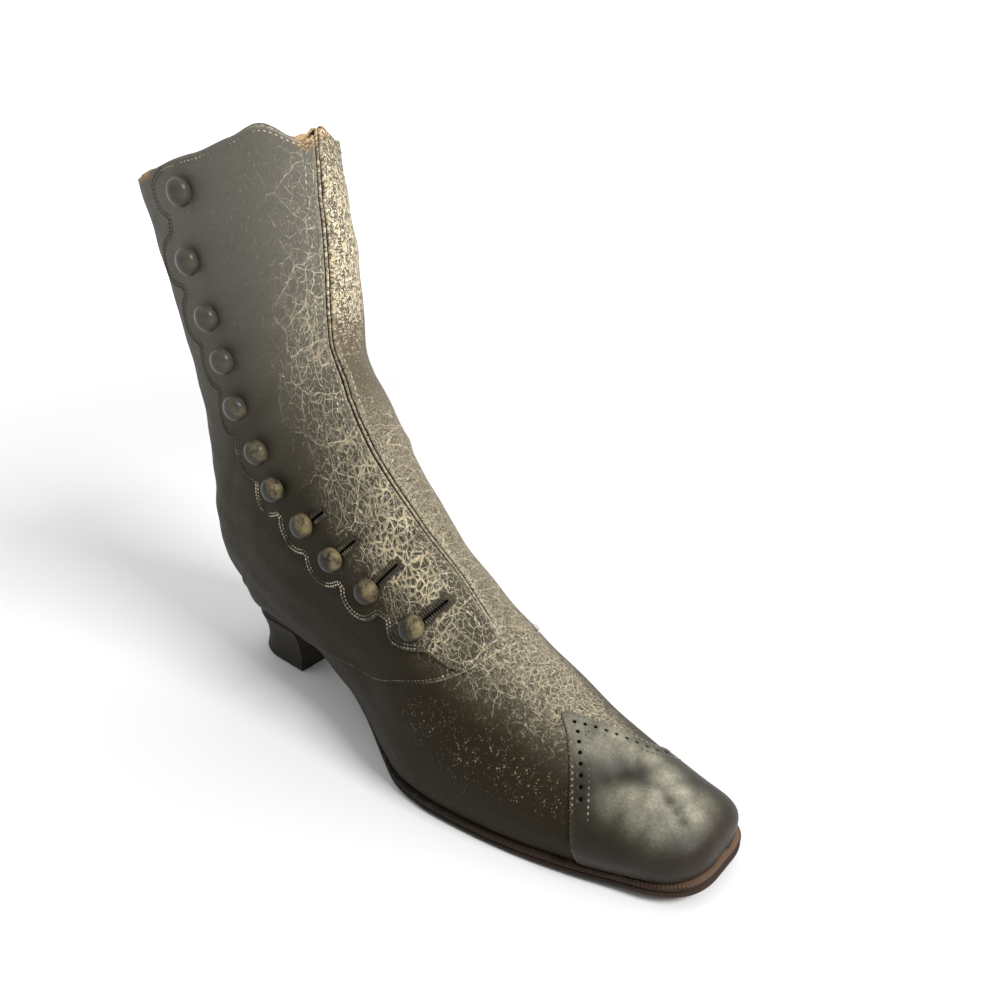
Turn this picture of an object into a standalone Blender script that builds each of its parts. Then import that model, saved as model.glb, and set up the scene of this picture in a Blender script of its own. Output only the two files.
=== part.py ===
# A right-foot button boot: leather upper on a welted sole with a low stacked heel.
# Metres, +X to the toe, +Y to the inner side of the foot, +Z up, standing on the floor.
# The upper is a loft of sections that turn like a fan from the toe, over the instep, up to the collar.

import math
from functools import lru_cache

import bmesh
import bpy
import numpy as np
from mathutils import Vector

# Driving sizes
LAST_LENGTH = 0.2325
BALL_WIDTH = 0.060
INSTEP_HEIGHT = 0.104
HEEL_HEIGHT = 0.0303
BOOT_HEIGHT = 0.2213
SHAFT_WIDTH = 0.0556

# Leather thicknesses and fits
WALL = 0.0018
CAP_THICKNESS = 0.0010
FLY_THICKNESS = 0.0014
FLY_SKIVED = 0.0006
WELT_THICKNESS = 0.0018
INSOLE_THICKNESS = 0.0020
SOLE_STACK = 0.0051
GAP = 0.0003
OVERLAY_GAP = 0.0004

# The feather line is where the upper meets the sole.
# Columns: along (share of the last), middle and half width (shares of the ball), height (share of the heel)
FEATHER = [
    (-0.045, 0.000, 0.300, 1.017),
    (0.062, 0.000, 0.308, 1.000),
    (0.170, -0.003, 0.288, 0.957),
    (0.265, -0.003, 0.262, 0.815),
    (0.329, -0.017, 0.275, 0.620),
    (0.394, -0.037, 0.313, 0.455),
    (0.432, -0.050, 0.350, 0.356),
    (0.480, -0.067, 0.408, 0.264),
    (0.523, -0.080, 0.455, 0.211),
    (0.587, -0.058, 0.492, 0.172),
    (0.660, -0.017, 0.500, 0.158),
    (0.755, 0.023, 0.468, 0.165),
    (0.845, 0.057, 0.403, 0.191),
    (0.927, 0.092, 0.330, 0.241),
    (1.009, 0.133, 0.293, 0.317),
]
TOE_ROUND = 0.082
TOE_POWER = 2.9
SEAT_ROUND = 0.086
SEAT_POWER = 2.1

# Sections of the foot, from the toe back, each from the feather line up to the crown.
# Columns: foot and crown along (shares of the last), crown aside (share of the ball), crown height
# (share of the instep), swell past the feather outside and inside (shares of the ball), height of the
# widest place (share of the section), roundness below it and of the crown
FOOT_SECTIONS = [
    (1.000, 1.000, 0.133, None, 0.000, 0.000, 0.30, 2.00, 2.20),
    (0.998, 1.001, 0.133, 0.139, 0.003, 0.003, 0.33, 2.00, 2.40),
    (0.988, 0.996, 0.127, 0.183, 0.010, 0.010, 0.34, 2.00, 2.40),
    (0.966, 0.978, 0.107, 0.215, 0.017, 0.013, 0.33, 2.00, 2.25),
    (0.918, 0.935, 0.077, 0.256, 0.022, 0.015, 0.30, 2.00, 2.05),
    (0.845, 0.867, 0.047, 0.312, 0.030, 0.017, 0.27, 2.00, 1.95),
    (0.746, 0.772, 0.023, 0.406, 0.037, 0.027, 0.25, 2.00, 1.92),
    (0.630, 0.673, 0.008, 0.538, 0.042, 0.050, 0.25, 2.00, 1.95),
    (0.510, 0.589, 0.000, 0.692, 0.067, 0.108, 0.25, 2.00, 2.00),
    (0.385, 0.520, 0.000, 0.851, 0.133, 0.167, 0.27, 2.00, 2.10),
    (0.256, 0.469, 0.000, 1.000, 0.192, 0.208, 0.30, 2.00, 2.10),
    (0.135, 0.434, 0.000, 1.125, 0.182, 0.182, 0.33, 2.00, 2.05),
    (0.054, 0.413, 0.000, 1.202, 0.185, 0.185, 0.36, 2.00, 2.00),
    (0.013, 0.397, 0.000, 1.269, 0.300, 0.300, 0.39, 2.10, 2.00),
]

# Sections of heel and leg, each from the back seam to the front, closed round the leg.
# Columns: back along (share of the last), back height (share of the boot), front along, front height,
# half width (share of the shaft), place of the widest point (share of the section), roundness behind it
LEG_SECTIONS = [
    (0.000, None, 0.383, 0.628, 0.504, 0.42, 2.50),
    (-0.050, 0.183, 0.372, 0.651, 0.513, 0.44, 2.45),
    (-0.062, 0.253, 0.355, 0.676, 0.520, 0.46, 2.25),
    (-0.047, 0.371, 0.342, 0.714, 0.507, 0.48, 2.10),
    (-0.041, 0.520, 0.345, 0.773, 0.500, 0.50, 2.00),
    (-0.062, 0.687, 0.351, 0.845, 0.500, 0.50, 2.00),
    (-0.088, 0.831, 0.346, 0.922, 0.500, 0.50, 2.00),
    (-0.112, 0.940, 0.343, 1.000, 0.500, 0.50, 2.00),
]
LEG_FRONT_ROUNDNESS = 2.0

# Rises of the collar. Columns: middle and half span (shares of the half girth), rise
COLLAR_RISES = [
    (-0.34, 0.34, 0.0026),
    (-0.17, 0.17, 0.0036),
    (-0.125, 0.09, 0.0032),
    (0.015, 0.055, 0.0036),
]
COLLAR_DEPTH = 2.2

# A place on the upper is a station, counted in sections from the toe, and a girth share:
# -1 at the outer feather line or the back seam, 0 at the crown, 1 at the inner feather line.
CLOSED_FROM = len(FOOT_SECTIONS)
COLLAR = CLOSED_FROM + len(LEG_SECTIONS) - 1
UPPER_STATIONS_PER_SECTION = 2
UPPER_COLUMNS = 32
GIRTH_SAMPLES = 48
SLOPE_STEP = 0.02
WELD_DISTANCE = 1e-7

# Top edge of the toe cap, peaked on the crown. Columns: girth share, station
CAP_EDGE = [
    (-1.00, 4.75),
    (-0.79, 4.93),
    (-0.39, 5.30),
    (-0.14, 5.75),
    (-0.03, 6.08),
    (0.09, 5.70),
    (0.19, 5.42),
    (0.40, 5.03),
    (0.79, 4.75),
    (1.00, 4.65),
]
CAP_COLUMNS = 24
CAP_ROWS = 9
CAP_FIRST_STATION = 0.35
CAP_LAST_GIRTH = 0.975

# Front seam of the button fly. Columns: station, girth share
FLY_SEAM = [
    (7.30, -0.026),
    (8.10, -0.012),
    (9.47, -0.040),
    (10.88, -0.056),
    (12.43, -0.052),
    (14.10, -0.047),
    (16.03, -0.038),
    (18.32, -0.040),
    (20.03, -0.022),
    (21.00, -0.006),
]
FLY_COLUMNS = 13
FLY_ROWS_PER_BUTTON = 4
FLY_LINE_SAMPLES = 400
FLY_SKIVED_SHARE = 0.5
LOBE_RADIUS = 0.0098
LOBE_RISE = 0.0025
LOBE_NOTCH = 0.0070
FLY_FOOT_STATION = 7.34
FLY_FOOT_GIRTH = -0.255
FLY_TOP_MARGIN = 0.0012

# The buttons from the collar down. Columns: station, girth share, reach of the fly behind the button
BUTTONS = [
    (20.50, -0.388, 0.0175),
    (19.55, -0.434, 0.0180),
    (18.73, -0.415, 0.0180),
    (18.03, -0.386, 0.0175),
    (17.09, -0.358, 0.0170),
    (15.51, -0.308, 0.0170),
    (13.75, -0.334, 0.0170),
    (11.28, -0.344, 0.0168),
    (10.23, -0.353, 0.0162),
    (9.35, -0.323, 0.0148),
    (8.34, -0.272, 0.0115),
]
BUTTON_RADIUS = 0.0051
BUTTON_HEIGHT = 0.0054
BUTTON_SIDES = 10
BUTTON_EDGE_TURN = 55.0
BUTTON_EDGE_POINTS = 4
BUTTON_MERGE = 1e-5
SHANK_RADIUS = 0.0015
SHANK_HEIGHT = 0.0005

# Sole and heel
WELT_MARGIN = 0.0025
SEAT_MARGIN = 0.0010
WELT_END = 0.405
WELT_RAMP = 0.006
WELT_INSIDE = 0.004
WELT_LEAST_HALF = 0.25
MARGIN_START = 0.22
MARGIN_SPAN = 0.22
SOLE_BACK = 0.004
SOLE_FRONT = 0.997
SOLE_STATIONS = 30
SEAT_POINTS = 8
TOE_POINTS = 10
HEEL_BREAST = 0.0375
HEEL_BASE_BACK = -0.0055
HEEL_BASE_LENGTH = 0.0390
HEEL_BASE_WIDTH = 0.86
HEEL_LEVELS = 6
HEEL_HOLLOW = 0.0016
HEEL_SIDE_POINTS = 14
HEEL_BACK_FLAT = 0.006
INSOLE_MARGIN = 0.0030
INSOLE_BACK = 0.022
INSOLE_FRONT = 0.978
INSOLE_LEAST_HALF = 0.002


def clear_scene():
    for old in list(bpy.data.objects):
        bpy.data.objects.remove(old, do_unlink=True)


def new_collection(name):
    collection = bpy.data.collections.new(name)
    bpy.context.scene.collection.children.link(collection)
    return collection


def new_material(name, colour, roughness):
    material = bpy.data.materials.new(name)
    material.use_nodes = True
    shader = material.node_tree.nodes["Principled BSDF"]
    shader.inputs["Base Color"].default_value = (*colour, 1.0)
    shader.inputs["Roughness"].default_value = roughness
    shader.inputs["Metallic"].default_value = 0.0
    return material


def new_part(name, mesh, material):
    part = bpy.data.objects.new(name, mesh)
    part.data.materials.append(material)
    boot.objects.link(part)
    part.parent = stand
    return part


def smooth_curve(table, column, place):
    """A smooth curve through one column of a table, read at a place in its first column."""
    places = np.array([row[0] for row in table])
    values = np.array([row[column] for row in table])
    slopes = np.gradient(values, places)
    place = min(max(place, places[0]), places[-1])
    i = min(max(int(np.searchsorted(places, place)) - 1, 0), len(places) - 2)
    span = places[i + 1] - places[i]
    t = (place - places[i]) / span
    start = (2 * t**3 - 3 * t**2 + 1) * values[i] + (t**3 - 2 * t**2 + t) * span * slopes[i]
    end = (3 * t**2 - 2 * t**3) * values[i + 1] + (t**3 - t**2) * span * slopes[i + 1]
    return float(start + end)


def rounded_end(depth, power):
    """Share of the width that is left at a depth from 0, the full width, to 1, the very end."""
    depth = min(max(depth, 0.0), 1.0)
    return (1.0 - depth**power) ** (1.0 / power)


def feather(along):
    """Middle line, half width and height of the feather line at a share of the last's length."""
    middle = smooth_curve(FEATHER, 1, along) * BALL_WIDTH
    half = smooth_curve(FEATHER, 2, along) * BALL_WIDTH
    height = smooth_curve(FEATHER, 3, along) * HEEL_HEIGHT
    half *= rounded_end((along - 1.0 + TOE_ROUND) / TOE_ROUND, TOE_POWER)
    half *= rounded_end((SEAT_ROUND - along) / SEAT_ROUND, SEAT_POWER)
    return middle, half, height


def section_rows():
    """One row for each section: foot along, foot height, crown along, crown aside, crown height,
    half width outside and inside, place of the widest point, roundness below and above it."""
    rows = []
    for foot, crown, aside, height, swell_out, swell_in, widest, below, above in FOOT_SECTIONS:
        _, half, low = feather(foot)
        high = low if height is None else height * INSTEP_HEIGHT
        outside = half + swell_out * BALL_WIDTH
        inside = half + swell_in * BALL_WIDTH
        rows.append((foot, low, crown, aside * BALL_WIDTH, high, outside, inside, widest, below, above))
    for back, back_height, front, front_height, half_share, widest, below in LEG_SECTIONS:
        low = feather(0.0)[2] if back_height is None else back_height * BOOT_HEIGHT
        half = half_share * SHAFT_WIDTH
        high = front_height * BOOT_HEIGHT
        rows.append((back, low, front, 0.0, high, half, half, widest, below, LEG_FRONT_ROUNDNESS))
    return np.array(rows)


SECTION_ROWS = section_rows()


def section_at(station):
    """A section between the rows, on a smooth curve through the four rows around it."""
    rows = SECTION_ROWS
    i = int(min(max(math.floor(station), 0), len(rows) - 2))
    t = station - i
    near, far = rows[i], rows[i + 1]
    before = rows[i - 1] if i > 0 else 2 * near - far
    after = rows[i + 2] if i + 2 < len(rows) else 2 * far - near
    bend = (2 * before - 5 * near + 4 * far - after) * t**2 + (3 * near - before - 3 * far + after) * t**3
    return 0.5 * (2 * near + (far - before) * t + bend)


@lru_cache(maxsize=None)
def half_girths(station):
    """The outer and inner half of a section as points from the feather line to the crown."""
    foot, low, crown, aside, high, outside, inside, widest, below, above = section_at(station)
    if station < CLOSED_FROM:
        foot = min(max(foot, 0.0), 1.0)
        middle, half, low = feather(foot)
    else:
        middle, half = 0.0, 0.0
    turn = np.linspace(0.0, math.pi / 2, GIRTH_SAMPLES)
    rise = np.concatenate([
        widest * (1.0 - np.maximum(np.cos(turn), 0.0) ** (2.0 / below)),
        widest + (1.0 - widest) * np.sin(turn[1:]) ** (2.0 / above),
    ])
    halves = []
    for side, width in ((-1.0, max(outside, half)), (1.0, max(inside, half))):
        across = np.concatenate([
            half + (width - half) * np.sin(turn) ** (2.0 / below),
            width * np.maximum(np.cos(turn[1:]), 0.0) ** (2.0 / above),
        ])
        x = (foot + (crown - foot) * rise) * LAST_LENGTH
        y = middle * (1.0 - rise) + aside * rise + side * across
        z = low + (high - low) * rise
        points = np.stack([x, y, z], axis=1)
        steps = np.linalg.norm(np.diff(points, axis=0), axis=1)
        lengths = np.concatenate([[0.0], np.cumsum(steps)])
        halves.append((points, lengths))
    return halves


def half_girth_length(station):
    return half_girths(station)[0][1][-1]


def collar_rise(station, girth):
    """The lift of the wavy top edge, fading out below the collar."""
    near = min(max((station - COLLAR + COLLAR_DEPTH) / COLLAR_DEPTH, 0.0), 1.0)
    rise = 0.0
    for middle, span, height in COLLAR_RISES:
        offset = min(max((girth - middle) / span, -1.0), 1.0)
        rise += height * math.cos(offset * math.pi / 2) ** 2
    return rise * near**2


def on_last(station, girth):
    """The point of the upper's outer surface at a station and a girth share."""
    points, lengths = half_girths(station)[0 if girth <= 0 else 1]
    reach = (1.0 - abs(girth)) * lengths[-1]
    x, y, z = (np.interp(reach, lengths, points[:, axis]) for axis in range(3))
    return Vector((x, y, z + collar_rise(station, girth)))


def outward(station, girth):
    """The outward direction of the surface, from its slopes along and across."""
    step = SLOPE_STEP
    near = min(max(station, 2 * step), COLLAR - 2 * step)
    turn = step / 2
    across = on_last(near, min(girth + turn, 1.0)) - on_last(near, max(girth - turn, -1.0))
    along = on_last(near + step, girth) - on_last(near - step, girth)
    return across.cross(along).normalized()


def off_last(station, girth, lift):
    """A point that stands off the upper's outer surface."""
    return on_last(station, girth) + outward(station, girth) * lift


def mesh_from_faces(name, build):
    """A mesh filled by a function that adds to an empty bmesh."""
    work = bmesh.new()
    build(work)
    bmesh.ops.remove_doubles(work, verts=work.verts[:], dist=WELD_DISTANCE)
    bmesh.ops.recalc_face_normals(work, faces=work.faces[:])
    mesh = bpy.data.meshes.new(name)
    work.to_mesh(mesh)
    work.free()
    mesh.shade_smooth()
    return mesh


def add_skin(work, grid):
    """Faces between the rows of a grid of bmesh vertices."""
    for near, far in zip(grid, grid[1:]):
        for i in range(len(near) - 1):
            corners = []
            for vertex in (near[i], near[i + 1], far[i + 1], far[i]):
                if vertex not in corners:
                    corners.append(vertex)
            if len(corners) > 2:
                work.faces.new(corners)


def add_plate(work, below, above):
    """A closed plate between two grids of places of the same size."""
    low = [[work.verts.new(place) for place in row] for row in below]
    high = [[work.verts.new(place) for place in row] for row in above]
    add_skin(work, low)
    add_skin(work, high)
    for edge in (0, -1):
        add_skin(work, [low[edge], high[edge]])
        add_skin(work, [[row[edge] for row in low], [row[edge] for row in high]])


def add_loft(work, rings):
    """Faces between closed rings of places, with quads across each end."""
    loops = [[work.verts.new(place) for place in ring] for ring in rings]
    for near, far in zip(loops, loops[1:]):
        add_skin(work, [near + near[:1], far + far[:1]])
    for loop in (loops[0], loops[-1]):
        half = len(loop) // 2
        add_skin(work, [loop[:half], loop[:half - 1:-1]])


def make_upper():
    """Vamp, quarters and shaft: an open surface from the feather line to the collar, with a real wall."""
    def build(work):
        stations = np.linspace(0.0, COLLAR, COLLAR * UPPER_STATIONS_PER_SECTION + 1)
        girths = np.linspace(-1.0, 1.0, UPPER_COLUMNS + 1)
        toe = work.verts.new(on_last(0.0, 0.0))
        rows = [[toe] * len(girths)]
        for station in stations[1:]:
            row = [work.verts.new(on_last(station, girth)) for girth in girths[:-1]]
            last = row[0] if station >= CLOSED_FROM else work.verts.new(on_last(station, girths[-1]))
            rows.append(row + [last])
        add_skin(work, rows)

    part = new_part("upper", mesh_from_faces("upper", build), worn_leather)
    wall = part.modifiers.new("wall", "SOLIDIFY")
    wall.thickness = WALL
    wall.offset = -1.0
    wall.use_even_offset = True


def make_toe_cap():
    """The peaked cap: a plate that stands off the upper from the toe to its own top edge."""
    def layer(lift):
        rows = []
        for share in np.linspace(0.0, 1.0, CAP_ROWS):
            row = []
            for girth in np.linspace(-CAP_LAST_GIRTH, CAP_LAST_GIRTH, CAP_COLUMNS + 1):
                top = smooth_curve(CAP_EDGE, 1, girth)
                station = CAP_FIRST_STATION + (top - CAP_FIRST_STATION) * share
                row.append(off_last(station, girth, lift))
            rows.append(row)
        return rows

    def build(work):
        add_plate(work, layer(OVERLAY_GAP), layer(OVERLAY_GAP + CAP_THICKNESS))

    new_part("toe_cap", mesh_from_faces("toe_cap", build), cap_leather)


def button_line():
    """The line through the buttons, from the fly's foot to the collar, in stations and girth shares."""
    foot = (FLY_FOOT_STATION, FLY_FOOT_GIRTH)
    top = (COLLAR, BUTTONS[0][1])
    return [foot] + [(station, girth) for station, girth, _ in BUTTONS[::-1]] + [top]


def scallop(marks, length):
    """How far the fly reaches behind the button line: a round lobe for each button, with notches between."""
    reaches = [LOBE_NOTCH] + [reach for _, _, reach in BUTTONS[::-1]]
    edge = np.interp(length, marks[:-1], reaches) - LOBE_NOTCH
    for mark, reach in zip(marks[1:-1], reaches[1:]):
        offset = abs(length - mark - LOBE_RISE)
        if offset < LOBE_RADIUS:
            edge = max(edge, reach - LOBE_RADIUS + math.sqrt(LOBE_RADIUS**2 - offset**2))
    return edge


def fly_rows():
    """Stations up the fly with the girth shares of its seam and of its scalloped edge."""
    line = button_line()
    fine = np.linspace(FLY_FOOT_STATION, COLLAR, FLY_LINE_SAMPLES)
    track = [on_last(station, smooth_curve(line, 1, station)) for station in fine]
    steps = [0.0] + [(far - near).length for near, far in zip(track, track[1:])]
    lengths = np.cumsum(steps)
    marks = [0.0] + [np.interp(station, fine, lengths) for station, _, _ in BUTTONS[::-1]]
    marks.append(lengths[-1] - FLY_TOP_MARGIN)
    pitches = len(marks) - 1
    counts = np.linspace(0.0, pitches, pitches * FLY_ROWS_PER_BUTTON + 1)
    rows = []
    for length in np.interp(counts, range(pitches + 1), marks):
        station = float(np.interp(length, lengths, fine))
        seam = smooth_curve(FLY_SEAM, 1, station)
        reach = scallop(marks, length) / half_girth_length(station)
        rows.append((station, seam, smooth_curve(line, 1, station) - reach))
    return rows


def make_button_fly():
    """The flap of the outer quarter, skived thin at the front seam and full at its scalloped edge."""
    def layer(thin, thick):
        rows = []
        for station, seam, edge in fly_rows():
            row = []
            for share in np.linspace(0.0, 1.0, FLY_COLUMNS + 1):
                lift = thin + (thick - thin) * min(1.0, share / FLY_SKIVED_SHARE)
                row.append(off_last(station, seam + (edge - seam) * share, lift))
            rows.append(row)
        return rows

    def build(work):
        below = layer(OVERLAY_GAP, OVERLAY_GAP)
        above = layer(OVERLAY_GAP + FLY_SKIVED, OVERLAY_GAP + FLY_THICKNESS)
        add_plate(work, below, above)

    new_part("button_fly", mesh_from_faces("button_fly", build), worn_leather)


def button_profile():
    """Half of a domed shoe button on a short shank: down its outer side from the crown to the shank's foot."""
    crown = BUTTON_HEIGHT - SHANK_HEIGHT
    points = [(0.0, BUTTON_HEIGHT)]
    for angle in np.linspace(BUTTON_EDGE_TURN, -BUTTON_EDGE_TURN, BUTTON_EDGE_POINTS):
        turn = math.radians(angle)
        points.append((BUTTON_RADIUS * math.cos(turn), SHANK_HEIGHT + crown / 2 * (1.0 + math.sin(turn))))
    points += [(SHANK_RADIUS, SHANK_HEIGHT), (SHANK_RADIUS, 0.0), (0.0, 0.0)]
    return [(radius, 0.0, height) for radius, height in points]


def make_buttons():
    """The shoe buttons, each turned about its own +Z and standing on the fly."""
    profile = button_profile()
    edges = [(i, i + 1) for i in range(len(profile) - 1)]
    foot_lift = OVERLAY_GAP + FLY_THICKNESS + GAP
    for number, (station, girth, _) in enumerate(BUTTONS, start=1):
        name = f"button_{number:02d}"
        mesh = bpy.data.meshes.new(name)
        mesh.from_pydata(profile, edges, [])
        button = new_part(name, mesh, button_black)
        turned = button.modifiers.new("turned", "SCREW")
        turned.axis = "Z"
        turned.angle = 2 * math.pi
        turned.steps = BUTTON_SIDES
        turned.render_steps = BUTTON_SIDES
        turned.use_merge_vertices = True
        turned.merge_threshold = BUTTON_MERGE
        button.location = off_last(station, girth, foot_lift)
        button.rotation_mode = "QUATERNION"
        button.rotation_quaternion = outward(station, girth).to_track_quat("Z", "Y")


def sole_stations(first, last):
    """Shares of the last's length, close together round the seat and the toe."""
    back = [SEAT_ROUND * (1 - math.cos(turn)) for turn in np.linspace(0.0, math.pi / 2, SEAT_POINTS)[:-1]]
    front = [1 - TOE_ROUND * (1 - math.sin(turn)) for turn in np.linspace(0.0, math.pi / 2, TOE_POINTS)[1:]]
    middle = list(np.linspace(SEAT_ROUND, 1 - TOE_ROUND, SOLE_STATIONS))
    return [first] + [share for share in back + middle + front if first < share < last] + [last]


def sole_edge(along):
    """Place along, middle line and half width of the sole's edge beside a place on the feather line."""
    middle, half, _ = feather(along)
    fore = min(max((along - MARGIN_START) / MARGIN_SPAN, 0.0), 1.0)
    margin = SEAT_MARGIN + (WELT_MARGIN - SEAT_MARGIN) * fore
    back = max(0.0, 1.0 - along / SEAT_ROUND)
    front = max(0.0, 1.0 - (1.0 - along) / TOE_ROUND)
    x = along * LAST_LENGTH + WELT_MARGIN * front**2 - SEAT_MARGIN * back**2
    return x, middle, half + margin * min(1.0, half / WELT_MARGIN)


def tread(along):
    """Height of the sole's under side, flat on the floor under the ball."""
    return max(0.0, feather(along)[2] - SOLE_STACK)


def welt_share(along):
    """0 where the outsole meets the upper, 1 where the welt lies between them."""
    return min(max((along - WELT_END) * LAST_LENGTH / WELT_RAMP, 0.0), 1.0)


def add_strip(work, stations, width, top, under):
    """A closed plate along the last, one row of four corners at each station."""
    rings = []
    for along in stations:
        x, middle, half = width(along)
        high, low = top(x / LAST_LENGTH), under(x / LAST_LENGTH)
        rings.append([(x, middle - half, low), (x, middle + half, low),
                      (x, middle + half, high), (x, middle - half, high)])
    add_loft(work, rings)


def make_outsole():
    """The leather plate under the boot, thinner under the welt, with toe spring and a raised waist."""
    def top(along):
        return feather(along)[2] - GAP - welt_share(along) * (WELT_THICKNESS + GAP)

    def build(work):
        add_strip(work, sole_stations(SOLE_BACK, SOLE_FRONT), sole_edge, top, tread)

    new_part("outsole", mesh_from_faces("outsole", build), sole_leather)


def make_welt():
    """The strip round the forepart from waist to waist, half under the upper and half showing."""
    def corners(along, side):
        x, middle, half = sole_edge(along)
        front = max(0.0, 1.0 - (1.0 - along) / TOE_ROUND)
        inner_x = x - 2 * WELT_INSIDE * front**2
        inner_half = max(half - WELT_INSIDE - WELT_MARGIN, WELT_LEAST_HALF * half)
        outer = Vector((x, middle + side * half, feather(x / LAST_LENGTH)[2] - GAP))
        inner = Vector((inner_x, middle + side * inner_half, feather(inner_x / LAST_LENGTH)[2] - GAP))
        drop = Vector((0.0, 0.0, WELT_THICKNESS))
        return [inner - drop, outer - drop, outer, inner]

    def build(work):
        first = WELT_END + (WELT_RAMP + GAP) / LAST_LENGTH
        stations = sole_stations(first, SOLE_FRONT)
        rings = [corners(along, -1.0) for along in stations]
        rings += [corners(along, 1.0) for along in reversed(stations)]
        add_loft(work, rings)

    new_part("welt", mesh_from_faces("welt", build), welt_leather)


def make_insole():
    """The inner sole, a plate inside the upper's lower edge."""
    def width(along):
        middle, half, _ = feather(along)
        return along * LAST_LENGTH, middle, max(half - INSOLE_MARGIN, INSOLE_LEAST_HALF)

    def build(work):
        def under(along):
            return feather(along)[2] + GAP

        def top(along):
            return under(along) + INSOLE_THICKNESS

        add_strip(work, sole_stations(INSOLE_BACK, INSOLE_FRONT), width, top, under)

    new_part("insole", mesh_from_faces("insole", build), lining_leather)


def make_heel():
    """The stacked heel: a round-backed block, hollowed a little down its sides, flat on the floor."""
    def build(work):
        breast = HEEL_BREAST / LAST_LENGTH
        turns = np.linspace(0.0, math.pi / 2, HEEL_SIDE_POINTS)
        shares = [breast * (1 - math.cos(turn)) + HEEL_BACK_FLAT * math.sin(turn) for turn in turns]
        shares = [min(share, breast) for share in shares]
        rings = []
        for level in np.linspace(0.0, 1.0, HEEL_LEVELS):
            outer, inner = [], []
            pinch = HEEL_HOLLOW * math.sin(math.pi * level)
            for share in shares:
                x_top, _, half_top = sole_edge(share)
                x_low = HEEL_BASE_BACK + share / breast * HEEL_BASE_LENGTH
                back = 1.0 - share / breast
                x = x_low + (x_top - x_low) * level + pinch * back
                half = half_top * (HEEL_BASE_WIDTH + (1 - HEEL_BASE_WIDTH) * level) - pinch
                z = level * (tread(x_top / LAST_LENGTH) - GAP)
                outer.append((x, -half, z))
                inner.append((x, half, z))
            rings.append(outer + inner[::-1])
        add_loft(work, rings)

    new_part("heel", mesh_from_faces("heel", build), heel_leather)


def stand_over_origin():
    """Moves the stand so that the middle of the boot's length and width is over the origin."""
    bpy.context.view_layer.update()
    depsgraph = bpy.context.evaluated_depsgraph_get()
    corners = []
    for part in boot.objects:
        solid = part.evaluated_get(depsgraph)
        corners += [solid.matrix_world @ vertex.co for vertex in solid.data.vertices]
    for axis in (0, 1):
        values = [corner[axis] for corner in corners]
        stand.location[axis] = -(min(values) + max(values)) / 2
    bpy.context.view_layer.update()


clear_scene()
boot = new_collection("button_boot")
stand = bpy.data.objects.new("stand", None)
bpy.context.scene.collection.objects.link(stand)

worn_leather = new_material("worn_leather", (0.050, 0.045, 0.035), 0.55)
cap_leather = new_material("cap_leather", (0.048, 0.046, 0.040), 0.38)
sole_leather = new_material("sole_leather", (0.045, 0.026, 0.018), 0.60)
welt_leather = new_material("welt_leather", (0.150, 0.085, 0.050), 0.65)
heel_leather = new_material("heel_leather", (0.028, 0.024, 0.020), 0.55)
lining_leather = new_material("lining_leather", (0.420, 0.310, 0.190), 0.80)
button_black = new_material("button_black", (0.055, 0.055, 0.050), 0.35)

make_upper()
make_toe_cap()
make_button_fly()
make_buttons()
make_outsole()
make_welt()
make_insole()
make_heel()
stand_over_origin()
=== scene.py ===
# A worn button boot for the right foot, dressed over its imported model.
# Metres, +X to the toe, +Y to the inner side of the foot, +Z up.

import math

import bmesh
import bpy
import numpy as np
from mathutils import Matrix, Vector, geometry


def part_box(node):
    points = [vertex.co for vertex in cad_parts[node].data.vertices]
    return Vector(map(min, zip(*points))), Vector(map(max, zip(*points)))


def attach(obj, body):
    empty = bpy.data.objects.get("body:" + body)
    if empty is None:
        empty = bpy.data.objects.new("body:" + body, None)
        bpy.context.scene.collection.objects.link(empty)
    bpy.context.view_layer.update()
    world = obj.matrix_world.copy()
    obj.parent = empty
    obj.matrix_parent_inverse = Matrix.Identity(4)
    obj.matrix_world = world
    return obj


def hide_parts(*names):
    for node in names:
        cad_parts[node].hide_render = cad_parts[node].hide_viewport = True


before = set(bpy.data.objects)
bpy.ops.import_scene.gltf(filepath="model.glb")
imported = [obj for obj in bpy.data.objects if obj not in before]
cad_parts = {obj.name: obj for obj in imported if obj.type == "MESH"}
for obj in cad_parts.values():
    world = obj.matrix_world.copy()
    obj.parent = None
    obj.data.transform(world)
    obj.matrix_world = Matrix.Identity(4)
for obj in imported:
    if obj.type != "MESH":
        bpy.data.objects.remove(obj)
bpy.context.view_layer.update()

# The upper
# Vamp, quarters and shaft of thin black kid leather, cut flat, closed with seams and pulled over a last.
# Its lower edge is turned under at the feather line, and its top edge is folded in and stitched.

LAST_LENGTH = 0.2325
BALL_WIDTH = 0.060
INSTEP_HEIGHT = 0.104
HEEL_HEIGHT = 0.0303
BOOT_HEIGHT = 0.2213
SHAFT_WIDTH = 0.0556

# The feather line, where the upper meets the sole.
# Columns: along (share of the last), middle and half width (shares of the ball), height (share of the heel)
FEATHER = [
    (-0.045, 0.000, 0.300, 1.017),
    (0.062, 0.000, 0.308, 1.000),
    (0.170, -0.003, 0.288, 0.957),
    (0.265, -0.003, 0.262, 0.815),
    (0.329, -0.017, 0.275, 0.620),
    (0.394, -0.037, 0.313, 0.455),
    (0.432, -0.050, 0.350, 0.356),
    (0.480, -0.067, 0.408, 0.264),
    (0.523, -0.080, 0.455, 0.211),
    (0.587, -0.058, 0.492, 0.172),
    (0.660, -0.017, 0.500, 0.158),
    (0.755, 0.023, 0.468, 0.165),
    (0.845, 0.057, 0.403, 0.191),
    (0.927, 0.092, 0.330, 0.241),
    (1.009, 0.133, 0.293, 0.317),
]
TOE_ROUND = 0.082
TOE_POWER = 2.9
SEAT_ROUND = 0.086
SEAT_POWER = 2.1

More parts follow.
